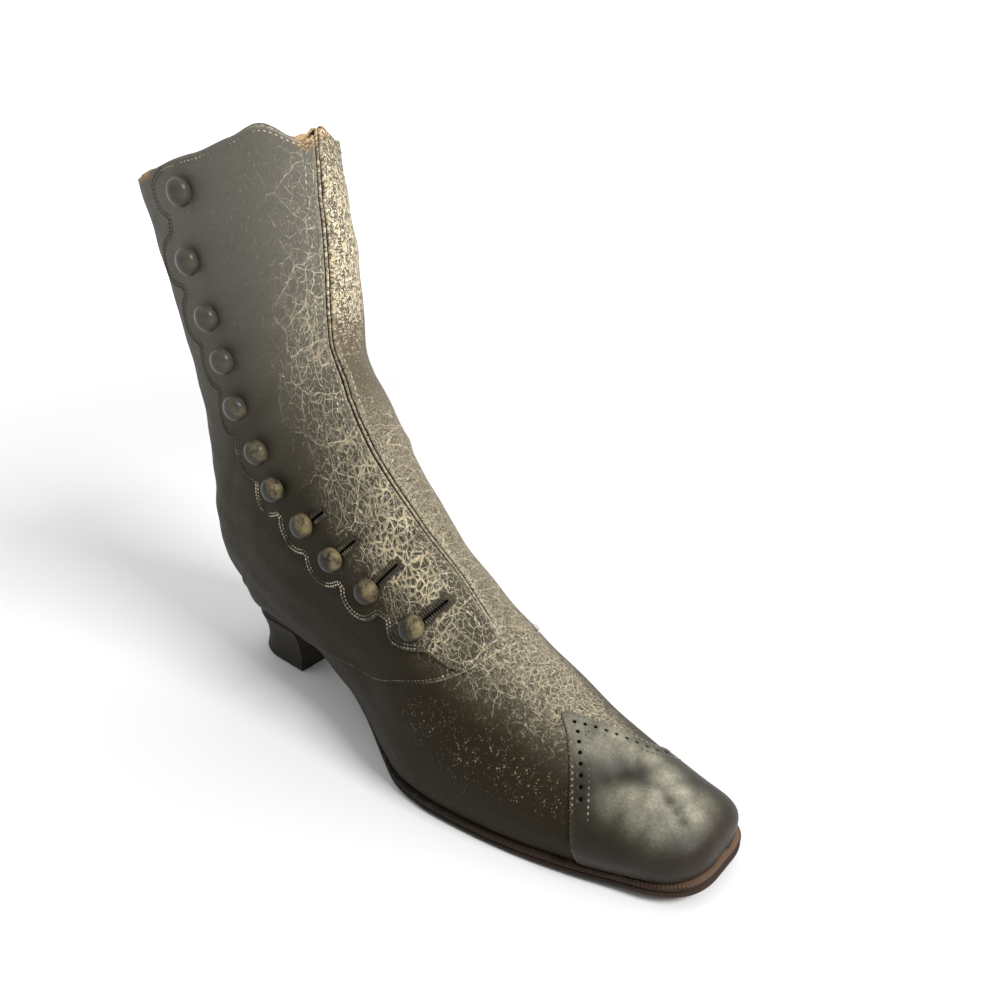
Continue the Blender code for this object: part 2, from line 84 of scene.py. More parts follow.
# Sections of the foot from the toe back, each from the feather line up to the crown.
# Columns: foot and crown along, crown aside, crown height, swell outside and inside, height of the widest
# place, roundness below it and of the crown
FOOT_SECTIONS = [
    (1.000, 1.000, 0.133, None, 0.000, 0.000, 0.30, 2.00, 2.20),
    (0.998, 1.001, 0.133, 0.139, 0.003, 0.003, 0.33, 2.00, 2.40),
    (0.988, 0.996, 0.127, 0.183, 0.010, 0.010, 0.34, 2.00, 2.40),
    (0.966, 0.978, 0.107, 0.215, 0.017, 0.013, 0.33, 2.00, 2.25),
    (0.918, 0.935, 0.077, 0.256, 0.022, 0.015, 0.30, 2.00, 2.05),
    (0.845, 0.867, 0.047, 0.312, 0.030, 0.017, 0.27, 2.00, 1.95),
    (0.746, 0.772, 0.023, 0.406, 0.037, 0.027, 0.25, 2.00, 1.92),
    (0.630, 0.673, 0.008, 0.538, 0.042, 0.050, 0.25, 2.00, 1.95),
    (0.510, 0.589, 0.000, 0.692, 0.067, 0.108, 0.25, 2.00, 2.00),
    (0.385, 0.520, 0.000, 0.851, 0.133, 0.167, 0.27, 2.00, 2.10),
    (0.256, 0.469, 0.000, 1.000, 0.192, 0.208, 0.30, 2.00, 2.10),
    (0.135, 0.434, 0.000, 1.125, 0.182, 0.182, 0.33, 2.00, 2.05),
    (0.054, 0.413, 0.000, 1.202, 0.185, 0.185, 0.36, 2.00, 2.00),
    (0.013, 0.397, 0.000, 1.269, 0.300, 0.300, 0.39, 2.10, 2.00),
]

# Sections of heel and leg, each from the back seam to the front, closed round the leg.
# Columns: back along, back height, front along, front height, half width, place of the widest point,
# roundness behind it
LEG_SECTIONS = [
    (0.000, None, 0.383, 0.628, 0.504, 0.42, 2.50),
    (-0.050, 0.183, 0.372, 0.651, 0.513, 0.44, 2.45),
    (-0.062, 0.253, 0.355, 0.676, 0.520, 0.46, 2.25),
    (-0.047, 0.371, 0.342, 0.714, 0.507, 0.48, 2.10),
    (-0.041, 0.520, 0.345, 0.773, 0.500, 0.50, 2.00),
    (-0.062, 0.687, 0.351, 0.845, 0.500, 0.50, 2.00),
    (-0.088, 0.831, 0.346, 0.922, 0.500, 0.50, 2.00),
    (-0.112, 0.940, 0.343, 1.000, 0.500, 0.50, 2.00),
]

# Rises of the collar. Columns: middle and half span (shares of the half girth), rise
COLLAR_RISES = [
    (-0.34, 0.34, 0.0026),
    (-0.17, 0.17, 0.0036),
    (-0.125, 0.09, 0.0032),
    (0.015, 0.055, 0.0036),
]
COLLAR_DEPTH = 2.2
FRAY_HEIGHT = 0.0007
FRAY_MIDDLE = 0.01
FRAY_SPREAD = 0.05
FRAY_WAVES = (310.0, 127.0)

# A place on the upper is a station, counted in sections from the toe, and a girth share:
# -1 at the outer feather line or the back seam, 0 at the crown, 1 at the inner feather line.
CLOSED_FROM = len(FOOT_SECTIONS)
COLLAR = CLOSED_FROM + len(LEG_SECTIONS) - 1
GIRTH_SAMPLES = 95
PLACES_AT_ONCE = 12000
SLOPE_STEP = 0.02
TINY = 1e-12


def curve_through(table, column, places):
    """A smooth curve through one column of a table, read at places in its first column."""
    knots = np.array([row[0] for row in table])
    values = np.array([row[column] for row in table])
    slopes = np.gradient(values, knots)
    places = np.clip(np.asarray(places, dtype=float), knots[0], knots[-1])
    i = np.clip(np.searchsorted(knots, places) - 1, 0, len(knots) - 2)
    span = knots[i + 1] - knots[i]
    t = (places - knots[i]) / span
    start = (2 * t**3 - 3 * t**2 + 1) * values[i] + (t**3 - 2 * t**2 + t) * span * slopes[i]
    end = (3 * t**2 - 2 * t**3) * values[i + 1] + (t**3 - t**2) * span * slopes[i + 1]
    return start + end


def rounded_end(depth, power):
    return (1.0 - np.clip(depth, 0.0, 1.0) ** power) ** (1.0 / power)


def feather(along):
    """Middle line, half width and height of the feather line at shares of the last's length."""
    middle = curve_through(FEATHER, 1, along) * BALL_WIDTH
    half = curve_through(FEATHER, 2, along) * BALL_WIDTH
    height = curve_through(FEATHER, 3, along) * HEEL_HEIGHT
    half = half * rounded_end((along - 1.0 + TOE_ROUND) / TOE_ROUND, TOE_POWER)
    half = half * rounded_end((SEAT_ROUND - along) / SEAT_ROUND, SEAT_POWER)
    return middle, half, height


def section_rows():
    rows = []
    for foot, crown, aside, height, swell_out, swell_in, widest, below, above in FOOT_SECTIONS:
        _, half, low = feather(np.array(foot))
        high = low if height is None else height * INSTEP_HEIGHT
        outside = half + swell_out * BALL_WIDTH
        inside = half + swell_in * BALL_WIDTH
        rows.append((foot, low, crown, aside * BALL_WIDTH, high, outside, inside, widest, below, above))
    for back, back_height, front, front_height, share, widest, below in LEG_SECTIONS:
        low = feather(np.array(0.0))[2] if back_height is None else back_height * BOOT_HEIGHT
        half = share * SHAFT_WIDTH
        rows.append((back, low, front, 0.0, front_height * BOOT_HEIGHT, half, half, widest, below, 2.0))
    return np.array(rows, dtype=float)


SECTION_ROWS = section_rows()
PADDED_ROWS = np.vstack([
    2 * SECTION_ROWS[0] - SECTION_ROWS[1],
    SECTION_ROWS,
    2 * SECTION_ROWS[-1] - SECTION_ROWS[-2],
])
STAND = np.array([
    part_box("upper")[0][0] - LEG_SECTIONS[-1][0] * LAST_LENGTH,
    (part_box("heel")[0][1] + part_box("heel")[1][1]) / 2,
    0.0,
])


def section_at(stations):
    """Sections between the rows, on smooth curves through the four rows around each."""
    i = np.clip(np.floor(stations).astype(int), 0, len(SECTION_ROWS) - 2)
    t = (stations - i)[:, None]
    before, near, far, after = (PADDED_ROWS[i + k] for k in range(4))
    bend = (2 * before - 5 * near + 4 * far - after) * t**2 + (3 * near - before - 3 * far + after) * t**3
    return 0.5 * (2 * near + (far - before) * t + bend)


def section_points(stations, sides, turns):
    """Points of half sections. A turn is 0 at the feather line, 1 at the widest point and 2 at the crown."""
    columns = section_at(stations).T[:, :, None]
    foot, low, crown, aside, high, outside, inside, widest, below, above = columns
    sides = sides[:, None]
    on_foot = stations[:, None] < CLOSED_FROM
    foot = np.where(on_foot, np.clip(foot, 0.0, 1.0), foot)
    middle, half, edge = feather(foot)
    middle = np.where(on_foot, middle, 0.0)
    half = np.where(on_foot, half, 0.0)
    low = np.where(on_foot, edge, low)
    width = np.maximum(np.where(sides < 0, outside, inside), half)
    lower = np.clip(turns, 0.0, 1.0) * math.pi / 2
    upper_turn = np.clip(turns - 1.0, 0.0, 1.0) * math.pi / 2
    crowned = turns > 1.0
    rise = np.where(
        crowned,
        widest + (1.0 - widest) * np.sin(upper_turn) ** (2.0 / above),
        widest * (1.0 - np.maximum(np.cos(lower), 0.0) ** (2.0 / below)),
    )
    across = np.where(
        crowned,
        width * np.maximum(np.cos(upper_turn), 0.0) ** (2.0 / above),
        half + (width - half) * np.sin(lower) ** (2.0 / below),
    )
    x = (foot + (crown - foot) * rise) * LAST_LENGTH
    y = middle * (1.0 - rise) + aside * rise + sides * across
    z = low + (high - low) * rise
    return np.stack([x, y, z], axis=-1)


def half_girths(stations, sides):
    """Lengths along half sections, from the feather line, at evenly spaced turns."""
    points = section_points(stations, sides, np.linspace(0.0, 2.0, GIRTH_SAMPLES)[None, :])
    steps = np.linalg.norm(np.diff(points, axis=1), axis=2)
    return np.concatenate([np.zeros((len(stations), 1)), np.cumsum(steps, axis=1)], axis=1)


def collar_rise(stations, girths):
    near = np.clip((stations - COLLAR + COLLAR_DEPTH) / COLLAR_DEPTH, 0.0, 1.0)
    rise = np.zeros_like(near)
    for middle, span, height in COLLAR_RISES:
        offset = np.clip((girths - middle) / span, -1.0, 1.0)
        rise += height * np.cos(offset * math.pi / 2) ** 2
    torn = np.sin(girths * FRAY_WAVES[0]) * np.cos(girths * FRAY_WAVES[1] + 0.5)
    frayed = np.exp(-(((girths - FRAY_MIDDLE) / FRAY_SPREAD) ** 2)) * torn
    return rise * near**2 + FRAY_HEIGHT * frayed * near**20


def on_last(stations, girths):
    """Points of the upper's outer surface at stations and girth shares, standing on the floor."""
    stations, girths = np.broadcast_arrays(np.asarray(stations, float), np.asarray(girths, float))
    stations, girths = stations.ravel(), girths.ravel()
    points = np.empty((len(stations), 3))
    for first in range(0, len(stations), PLACES_AT_ONCE):
        some = slice(first, first + PLACES_AT_ONCE)
        here = stations[some]
        sides = np.where(girths[some] <= 0, -1.0, 1.0)
        lengths = half_girths(here, sides)
        reach = (1.0 - np.abs(girths[some])) * lengths[:, -1]
        k = np.clip((lengths <= reach[:, None]).sum(axis=1) - 1, 0, GIRTH_SAMPLES - 2)
        row = np.arange(len(here))
        gap = np.maximum(lengths[row, k + 1] - lengths[row, k], TINY)
        turns = (k + (reach - lengths[row, k]) / gap) * 2.0 / (GIRTH_SAMPLES - 1)
        points[some] = section_points(here, sides, turns[:, None])[:, 0]
    points[:, 2] += collar_rise(stations, girths)
    return points + STAND


def unit(vectors):
    return vectors / np.maximum(np.linalg.norm(vectors, axis=1, keepdims=True), TINY)


def outward(stations, girths):
    """Outward directions of the surface, from its slopes along and across."""
    near = np.clip(stations, 2 * SLOPE_STEP, COLLAR - 2 * SLOPE_STEP)
    turn = SLOPE_STEP / 2
    across = on_last(near, np.minimum(girths + turn, 1.0)) - on_last(near, np.maximum(girths - turn, -1.0))
    along = on_last(near + SLOPE_STEP, girths) - on_last(near - SLOPE_STEP, girths)
    out = np.cross(across, along)
    return unit(out)


def lengths_along(points):
    steps = np.linalg.norm(np.diff(points, axis=0), axis=1)
    return np.concatenate([[0.0], np.cumsum(steps)])


# Lengths over the skin, so that patterns and cut patches keep their scale
FINE_STATIONS = np.linspace(0.0, COLLAR, 421)
CROWN_LENGTHS = lengths_along(on_last(FINE_STATIONS, 0.0))
HALF_LENGTHS = half_girths(FINE_STATIONS, np.full(len(FINE_STATIONS), -1.0))[:, -1]


def half_girth(stations):
    return np.interp(stations, FINE_STATIONS, HALF_LENGTHS)


def skin_place(stations, girths):
    """Flat coordinates on the leather in centimetres, across from the crown and up from the toe."""
    up = np.interp(stations, FINE_STATIONS, CROWN_LENGTHS)
    return np.stack([girths * half_girth(stations), up], axis=-1) * 100.0


# Creases from wear. Columns: rise (troughs below zero), half width, path as stations and girth shares
CREASES = [
    (-0.0015, 0.0075, [(16.35, -0.18), (16.45, 0.00), (16.35, 0.18)]),
    (0.0018, 0.0130, [(13.0, 0.02), (12.0, 0.07), (11.0, 0.12)]),
    (-0.0008, 0.0036, [(17.3, -0.14), (16.3, -0.38), (15.6, -0.64)]),
    (-0.0009, 0.0040, [(15.3, -0.10), (14.0, -0.36), (13.3, -0.58)]),
    (-0.0007, 0.0034, [(13.5, -0.08), (12.3, -0.28), (11.6, -0.52)]),
    (-0.0009, 0.0038, [(16.8, 0.12), (15.8, 0.42), (15.2, 0.66)]),
    (-0.0008, 0.0038, [(14.7, 0.10), (13.5, 0.38), (12.8, 0.62)]),
    (-0.0006, 0.0030, [(7.00, 0.42), (7.12, 0.00), (7.00, -0.44)]),
    (0.0005, 0.0046, [(6.55, 0.40), (6.62, 0.00), (6.50, -0.42)]),
    (-0.0004, 0.0028, [(6.15, 0.40), (6.22, 0.00), (6.10, -0.42)]),
    (-0.0015, 0.0050, [(5.32, -0.27), (4.98, -0.14), (4.82, 0.02), (4.70, 0.18)]),
    (0.0009, 0.0046, [(4.95, -0.36), (4.50, -0.20), (4.10, -0.16), (3.55, -0.16)]),
    (0.0007, 0.0046, [(4.90, 0.20), (4.30, 0.11), (3.80, 0.03), (3.20, -0.05)]),
    (-0.0007, 0.0015, [(4.40, -0.06), (4.00, -0.10), (3.40, -0.20)]),
]
CREASE_STEPS = 25
CREASE_REACH = 0.09
CREASE_FADE = 0.3
FEATHER_CALM = 0.008
SOFT_WAVE = 0.00022


def crease_lines():
    lines = []
    for rise, width, path in CREASES:
        shares = np.linspace(0.0, len(path) - 1.0, CREASE_STEPS)
        stations = np.interp(shares, range(len(path)), [place[0] for place in path])
        girths = np.interp(shares, range(len(path)), [place[1] for place in path])
        lines.append((rise, width, on_last(stations, girths)))
    return lines


CREASE_LINES = crease_lines()


def ease(value, start, end):
    """0 before start, 1 after end, and smooth between."""
    t = np.clip((value - start) / (end - start), 0.0, 1.0)
    return t * t * (3.0 - 2.0 * t)


def worn_form(points, stations, girths):
    """How far wear has pushed the leather out or in at points on the last."""
    moved = np.zeros(len(points))
    for rise, width, line in CREASE_LINES:
        near = np.flatnonzero(np.linalg.norm(points - line.mean(axis=0), axis=1) < CREASE_REACH)
        start, span = line[:-1], np.diff(line, axis=0)
        offset = points[near][:, None, :] - start
        share = np.clip((offset * span).sum(axis=2) / (span**2).sum(axis=1), 0.0, 1.0)
        gap = np.linalg.norm(offset - share[:, :, None] * span, axis=2)
        closest = gap.argmin(axis=1)
        row = np.arange(len(near))
        along = (closest + share[row, closest]) / len(span)
        fade = ease(along, 0.0, CREASE_FADE) * ease(1.0 - along, 0.0, CREASE_FADE)
        moved[near] += rise * fade * np.exp(-((gap[row, closest] / width) ** 2))
    x, y, z = points.T * 1000.0
    moved += SOFT_WAVE * np.sin(0.13 * x + 0.21 * z + 1.0) * np.sin(0.17 * z - 0.11 * y + 0.6)
    moved += SOFT_WAVE * np.sin(0.29 * z - 0.08 * x + 2.0) * np.cos(0.19 * y + 0.05 * z)
    from_feather = np.where(stations < CLOSED_FROM, (1.0 - np.abs(girths)) * half_girth(stations), 1.0)
    return moved * ease(from_feather, 0.0, FEATHER_CALM)


# The front seam, where the button fly starts. Columns: station, girth share
FRONT_SEAM = [
    (7.30, -0.026),
    (8.10, -0.012),
    (9.47, -0.040),
    (10.88, -0.056),
    (12.43, -0.052),
    (14.10, -0.047),
    (16.03, -0.038),
    (18.32, -0.040),
    (20.03, -0.022),
    (21.00, -0.006),
]

# Where the finish has cracked away. Columns: station, girth of the cracks' outer limit, strength of the
# cracks, strength of the flecks on the strip inside the seam, width of that strip in millimetres
WEAR = [
    (0.0, -0.10, 0.00, 0.00, 10.0),
    (4.8, -0.20, 0.10, 0.10, 10.0),
    (5.6, -0.26, 0.45, 0.15, 14.0),
    (7.2, -0.28, 0.80, 0.20, 16.0),
    (8.5, -0.30, 1.00, 0.22, 17.0),
    (11.0, -0.22, 1.00, 0.34, 17.0),
    (14.0, -0.15, 0.95, 0.50, 18.0),
    (16.2, -0.14, 0.95, 0.58, 18.0),
    (18.0, -0.14, 1.00, 1.00, 20.0),
    (19.4, -0.12, 0.80, 1.00, 20.0),
    (20.4, -0.11, 0.65, 0.95, 18.0),
    (21.0, -0.11, 0.40, 0.80, 14.0),
]

# Patches rubbed through to the hide, and fields of pale specks.
# Columns: station, girth, radius in metres, strength
GOLD_PATCHES = [
    (11.2, -0.085, 0.0060, 0.7),
    (12.1, -0.100, 0.0055, 0.5),
    (9.75, -0.085, 0.0070, 0.9),
    (10.4, -0.075, 0.0065, 0.8),
    (9.62, -0.172, 0.0065, 0.9),
    (9.25, -0.160, 0.0065, 1.0),
    (9.15, -0.215, 0.0060, 0.9),
    (8.97, -0.105, 0.0060, 0.9),
    (8.75, -0.147, 0.0065, 1.0),
    (8.53, -0.142, 0.0060, 0.9),
    (8.20, -0.157, 0.0060, 0.8),
    (7.93, -0.240, 0.0065, 0.7),
    (10.3, -0.140, 0.0060, 0.5),
    (12.6, -0.085, 0.0080, 0.5),
    (16.9, -0.070, 0.0080, 0.5),
    (17.9, -0.090, 0.0080, 0.4),
]
PALE_DOTS = [
    (7.60, -0.555, 0.013, 0.8),
    (7.33, -0.480, 0.011, 0.8),
    (6.80, -0.580, 0.013, 0.9),
    (6.40, -0.470, 0.013, 0.9),
    (6.03, -0.520, 0.012, 0.9),
    (5.60, -0.500, 0.012, 0.8),
    (6.20, -0.300, 0.018, 0.6),
    (9.50, -0.520, 0.012, 0.4),
]


def patches(points, table):
    total = np.zeros(len(points))
    for station, girth, radius, strength in table:
        gap = np.linalg.norm(points - on_last(station, girth), axis=1)
        total = np.maximum(total, strength * np.exp(-((gap / radius) ** 2)))
    return total


def wear_masks(points, stations, girths):
    """Shares from 0 to 1 of each kind of wear at places on the upper, and of its painted sheen and painted
    shade.
    """
    limit, cracks, flecks, strip = (curve_through(WEAR, column, stations) for column in range(1, 5))
    seam = curve_through(FRONT_SEAM, 1, stations)
    inside = (girths - seam) * half_girth(stations) * 1000.0
    in_strip = ease(inside, -0.5, 0.5) * (1.0 - ease(inside, strip, strip + 14.0)) * ease(stations, 6.9, 7.4)
    outer = ease(girths, limit - 0.16, limit + 0.08) * (1.0 - ease(girths, 0.22, 0.56) * 0.8)
    outer = outer * (1.0 - in_strip)
    beside = 0.8 + 0.2 * ease(np.abs(inside), 1.0, 4.0)
    vamp = ease(stations, 4.6, 5.6) * (1.0 - ease(stations, 7.2, 7.6))
    crown = 1.0 - ease(np.abs(girths - 0.08), 0.08, 0.38)
    aside = np.maximum(ease(-girths, 0.16, 0.46), ease(girths, 0.34, 0.70))
    # Painted shade: the low sides of the foot, fading out towards the leg.
    painted_low_shade = aside * (1.0 - ease(stations, 10.0, 18.0))
    wide_crown = 1.0 - ease(np.abs(girths + 0.06), 0.18, 0.60)
    back_rim = ease(stations, 20.92, 20.95) * ease(-girths, 0.55, 0.60)
    front_rim = ease(stations, 20.76, 20.94) * np.exp(-(((girths + 0.004) / 0.045) ** 4))
    low_strip = 1.0 - ease(stations, 11.0, 15.5)
    dust = np.maximum(in_strip * (0.15 + 0.85 * low_strip), vamp * crown * 0.85)
    return {
        "cracks": cracks * outer * beside,
        "flecks": flecks * in_strip,
        "bands": in_strip * (1.0 - ease(stations, 12.0, 14.5)),
        "mesh_cracks": vamp * (0.18 * wide_crown + 0.82 * crown),
        "rubbed": patches(points, GOLD_PATCHES),
        "dots": patches(points, PALE_DOTS),
        # Painted sheen: paler grey towards the top of the shaft, less towards the back.
        "painted_sheen": ease(points[:, 2], 0.085, 0.210) * (1.0 - 0.9 * ease(np.abs(girths), 0.50, 0.72)),
        "dust": np.maximum(dust, 0.22 * outer * cracks),
        "dark": painted_low_shade,
        "fray": np.maximum(back_rim, front_rim),
    }


def add_masks(mesh, masks):
    for name, values in masks.items():
        layer = mesh.attributes.new(name, "FLOAT", "POINT")
        layer.data.foreach_set("value", np.asarray(values, dtype=np.float32))


def add_flat_map(mesh, places):
    """A UV map named skin, one place for each corner of each face."""
    layer = mesh.uv_layers.new(name="skin")
    layer.data.foreach_set("uv", np.asarray(places, dtype=np.float32).ravel())


def new_piece(name, mesh, material):
    piece = bpy.data.objects.new(name, mesh)
    bpy.context.scene.collection.objects.link(piece)
    mesh.materials.clear()
    mesh.materials.append(material)
    mesh.shade_smooth()
    return piece


def wall_mesh(name, stations, girths, lift, under):
    """A closed wall over a grid of places, between two heights off the last."""
    rows, columns = len(stations), len(girths)
    count = rows * columns
    all_stations, all_girths = np.repeat(stations, columns), np.tile(girths, rows)
    skin = on_last(all_stations, all_girths)
    out = outward(all_stations, all_girths)
    worn = worn_form(skin, all_stations, all_girths)
    grid = np.arange(count).reshape(rows, columns)
    joined = grid.copy()
    if stations[0] == 0.0:
        joined[0] = grid[0, columns // 2]
    closed = stations >= CLOSED_FROM
    joined[closed, -1] = grid[closed, 0]
    joined = joined.ravel()
    faces = []
    for r in range(rows - 1):
        for c in range(columns - 1):
            quad = (grid[r, c], grid[r, c + 1], grid[r + 1, c + 1], grid[r + 1, c])
            faces.append(quad)
            faces.append(tuple(corner + count for corner in quad[::-1]))
        if not closed[r]:
            first, last = grid[r, 0], grid[r, -1]
            up, up_last = grid[r + 1, 0], grid[r + 1, -1]
            faces.append((first, up, up + count, first + count))
            faces.append((up_last, last, last + count, up_last + count))
    for c in range(columns - 1):
        near, far = grid[-1, c], grid[-1, c + 1]
        faces.append((near, far, far + count, near + count))
        if stations[0] > 0.0:
            near, far = grid[0, c], grid[0, c + 1]
            faces.append((far, near, near + count, far + count))
    joined = np.concatenate([joined, joined + count])
    kept_faces, corners = [], []
    for face in faces:
        seen, loop = [], []
        for corner in face:
            vertex = joined[corner]
            if vertex not in seen:
                seen.append(vertex)
                loop.append(corner % count)
        if len(seen) > 2:
            kept_faces.append(seen)
            corners += loop
    used = np.unique(np.concatenate([np.array(face) for face in kept_faces]))
    renumber = np.zeros(2 * count, dtype=int)
    renumber[used] = np.arange(len(used))
    heights = np.concatenate([lift + worn, under + worn])
    places = np.concatenate([skin, skin]) + np.concatenate([out, out]) * heights[:, None]
    mesh = bpy.data.meshes.new(name)
    mesh.from_pydata(places[used].tolist(), [], [[int(renumber[v]) for v in face] for face in kept_faces])
    flat = skin_place(all_stations, all_girths)
    add_flat_map(mesh, flat[np.array(corners)])
    where = used % count
    return mesh, skin[where], all_stations[where], all_girths[where]


class Wire:
    """A socket in a material's nodes, with arithmetic that adds Math nodes."""

    def __init__(self, tree, socket=None):
        self.tree = tree
        self.socket = socket

    def node(self, kind, settings=None, sockets=None, out=0):
        made = self.tree.nodes.new(kind)
        for name, value in (settings or {}).items():
            setattr(made, name, value)
        for name, value in (sockets or {}).items():
            if isinstance(value, Wire):
                self.tree.links.new(value.socket, made.inputs[name])
            else:
                made.inputs[name].default_value = value
        return Wire(self.tree, made.outputs[out])

    def maths(self, operation, first, second):
        return self.node("ShaderNodeMath", {"operation": operation}, {0: first, 1: second})

    def __add__(self, other):
        return self.maths("ADD", self, other)

    def __radd__(self, other):
        return self.maths("ADD", other, self)

    def __sub__(self, other):
        return self.maths("SUBTRACT", self, other)

    def __rsub__(self, other):
        return self.maths("SUBTRACT", other, self)

    def __mul__(self, other):
        return self.maths("MULTIPLY", self, other)

    def __rmul__(self, other):
        return self.maths("MULTIPLY", other, self)

    def most(self, other):
        return self.maths("MAXIMUM", self, other)

    def ease(self, start, end):
        return self.node("ShaderNodeMapRange", {"interpolation_type": "SMOOTHSTEP"},
                         {"Value": self, "From Min": start, "From Max": end})

    def mix(self, colour, other):
        return self.node("ShaderNodeMix", {"data_type": "RGBA"}, {0: self, 6: colour, 7: other}, 2)

    def mask(self, name):
        return self.node("ShaderNodeAttribute", {"attribute_name": name}, out=2)

    def axis(self, number):
        return self.node("ShaderNodeSeparateXYZ", {}, {0: self}, number)

    def stretch(self, *scales):
        return self.node("ShaderNodeVectorMath", {"operation": "MULTIPLY"}, {0: self, 1: scales})

    def noise(self, scale, detail=3.0, out=0):
        return self.node("ShaderNodeTexNoise", {}, {"Vector": self, "Scale": scale, "Detail": detail}, out)

    def cells(self, scale, feature="DISTANCE_TO_EDGE"):
        return self.node("ShaderNodeTexVoronoi", {"voronoi_dimensions": "2D", "feature": feature},
                         {"Vector": self, "Scale": scale})


def colour(red, green, blue):
    """A linear colour from the values seen on a screen, each from 0 to 255."""
    shares = (value / 255.0 for value in (red, green, blue))
    return tuple(v / 12.92 if v <= 0.04045 else ((v + 0.055) / 1.055) ** 2.4 for v in shares) + (1.0,)


def new_finish(name):
    """A material with its first wire and its shader."""
    material = bpy.data.materials.new(name)
    material.use_nodes = True
    shader = material.node_tree.nodes["Principled BSDF"]
    return material, Wire(material.node_tree), shader


def connect(wire, shader, socket):
    wire.tree.links.new(wire.socket, shader.inputs[socket])


def emboss(height, shader, strength, distance):
    settings = {"Strength": strength, "Distance": distance, "Height": height}
    connect(height.node("ShaderNodeBump", {}, settings), shader, "Normal")


def worn_kid():
    """Black kid with a cracked, rubbed finish that shows the pale hide, a painted sheen towards the top and
    painted shade on the low sides.
    """
    material, start, shader = new_finish("worn_kid")
    skin = start.node("ShaderNodeUVMap", {"uv_map": "skin"})
    mask = start.mask

    def pushed(place, scale, reach):
        drift = skin.noise(scale, 2.0, 1)
        return start.node("ShaderNodeVectorMath", {"operation": "MULTIPLY_ADD"},
                          {0: drift, 1: (reach, reach, 0.0), 2: place})

    bent = pushed(pushed(skin, 1.5, 0.42), 7.0, 0.05)
    broad = skin.noise(0.55, 4.0)
    broken = skin.noise(3.0, 4.0)
    small = skin.noise(7.0, 3.0)
    fine = skin.noise(16.0, 3.0)
    grain = skin.stretch(1.0, 0.6, 1.0).noise(44.0, 2.0)

    def crack(across, up, width, spread):
        cells = bent.stretch(across, up, 1.0).cells(1.0)
        return 1.0 - cells.ease(0.3 * width, width + spread * small)

    cracks = mask("cracks")
    wide = crack(1.1, 0.66, 0.006, 0.026) * (broken + 0.34 * cracks).ease(0.56, 0.74) * cracks
    middle_gaps = (small * 0.5 + broad * 0.5 + 0.34 * cracks).ease(0.62, 0.78)
    middle = crack(2.6, 1.7, 0.010, 0.045) * middle_gaps * cracks
    tiny = crack(5.8, 3.6, 0.02, 0.12) * (broken * 0.6 + fine * 0.4 + 0.27 * cracks).ease(0.62, 0.78) * cracks
    mesh_share = mask("mesh_cracks")
    mesh_gaps = (broken * 0.5 + small * 0.5 + 0.16 * mesh_share).ease(0.48, 0.68)
    mesh_worn = crack(3.4, 5.0, 0.02, 0.17) * mesh_gaps * mesh_share
    fleck_share = mask("flecks")
    flecks = (small * 0.30 + fine * 0.50 + broken * 0.20 + 0.20 * fleck_share).ease(0.66, 0.74) * fleck_share
    band = crack(0.75, 2.9, 0.012, 0.050) * (broken * 0.7 + small * 0.4).ease(0.40, 0.54) * mask("bands")
    rubbed = mask("rubbed")
    bare = crack(3.8, 3.2, 0.03, 0.36) * (broken * 0.6 + fine * 0.5 + 0.45 * rubbed).ease(0.58, 0.80) * rubbed
    dots = mask("dots")
    specks = (fine * 0.75 + small * 0.3 + 0.10 * dots).ease(0.67, 0.76) * dots * broken.ease(0.44, 0.58)
    edge = mask("edge") * (fine * 0.6 + small * 0.5).ease(0.42, 0.62)
    fray = mask("fray")

    hatch = skin.stretch(9.0, 2.2, 1.0).noise(3.0, 3.0)
    dust = mask("dust")
    powder = dust * (0.05 + 0.95 * (fine * 0.45 + hatch * 0.45 + broken * 0.2).ease(0.46, 0.62))
    # Pale streaks, shown only within the painted sheen towards the top.
    streaks = hatch.ease(0.58, 0.70) * small.ease(0.45, 0.60) * mask("painted_sheen") * 0.20
    lines = (wide * 0.85).most(middle * 0.74).most(tiny * 0.62)
    lines = lines.most(mesh_worn * 0.58).most(band * 0.62).most(streaks)
    hide = lines.most(flecks).most(bare).most(specks * 0.8).most(edge * 0.55)
    black = broad.ease(0.30, 0.70).mix(colour(50, 45, 33), colour(60, 55, 43))
    # Painted sheen: the shaft is paler grey towards its top.
    black = (mask("painted_sheen") * (0.68 + 0.24 * hatch)).mix(black, colour(108, 105, 97))
    # Painted shade: the low sides of the foot are darker.
    black = (mask("dark") * 0.85).mix(black, colour(37, 31, 19))
    black = (fleck_share * 0.75).mix(black, colour(94, 79, 57))
    black = (powder * 0.68).mix(black, colour(164, 154, 132))
    black = (fray * 0.9).mix(black, fine.ease(0.40, 0.62).mix(colour(104, 70, 40), colour(206, 172, 122)))
    cream = broken.ease(0.36, 0.66).mix(colour(228, 219, 196), colour(208, 194, 162))
    cream = (bare * 0.6).mix(cream, colour(214, 190, 140))
    painted = (hide * (0.60 + 0.40 * small.ease(0.35, 0.60))).mix(black, cream)
    # Painted shade: near black where the upper shows only through holes, slots and the seam's groove.
    connect(mask("painted_shade_underneath").mix(painted, colour(14, 12, 11)), shader, "Base Color")
    connect(0.50 + 0.20 * hide + 0.18 * (broken - 0.5) + 0.10 * powder, shader, "Roughness")
    height = 0.30 * grain + 0.35 * fine + 0.5 * small + 0.4 * hatch * dust - 0.8 * hide + 1.2 * fray * fine
    emboss(height, shader, 0.55, 0.0005)
    shader.inputs["Specular IOR Level"].default_value = 0.07
    return material


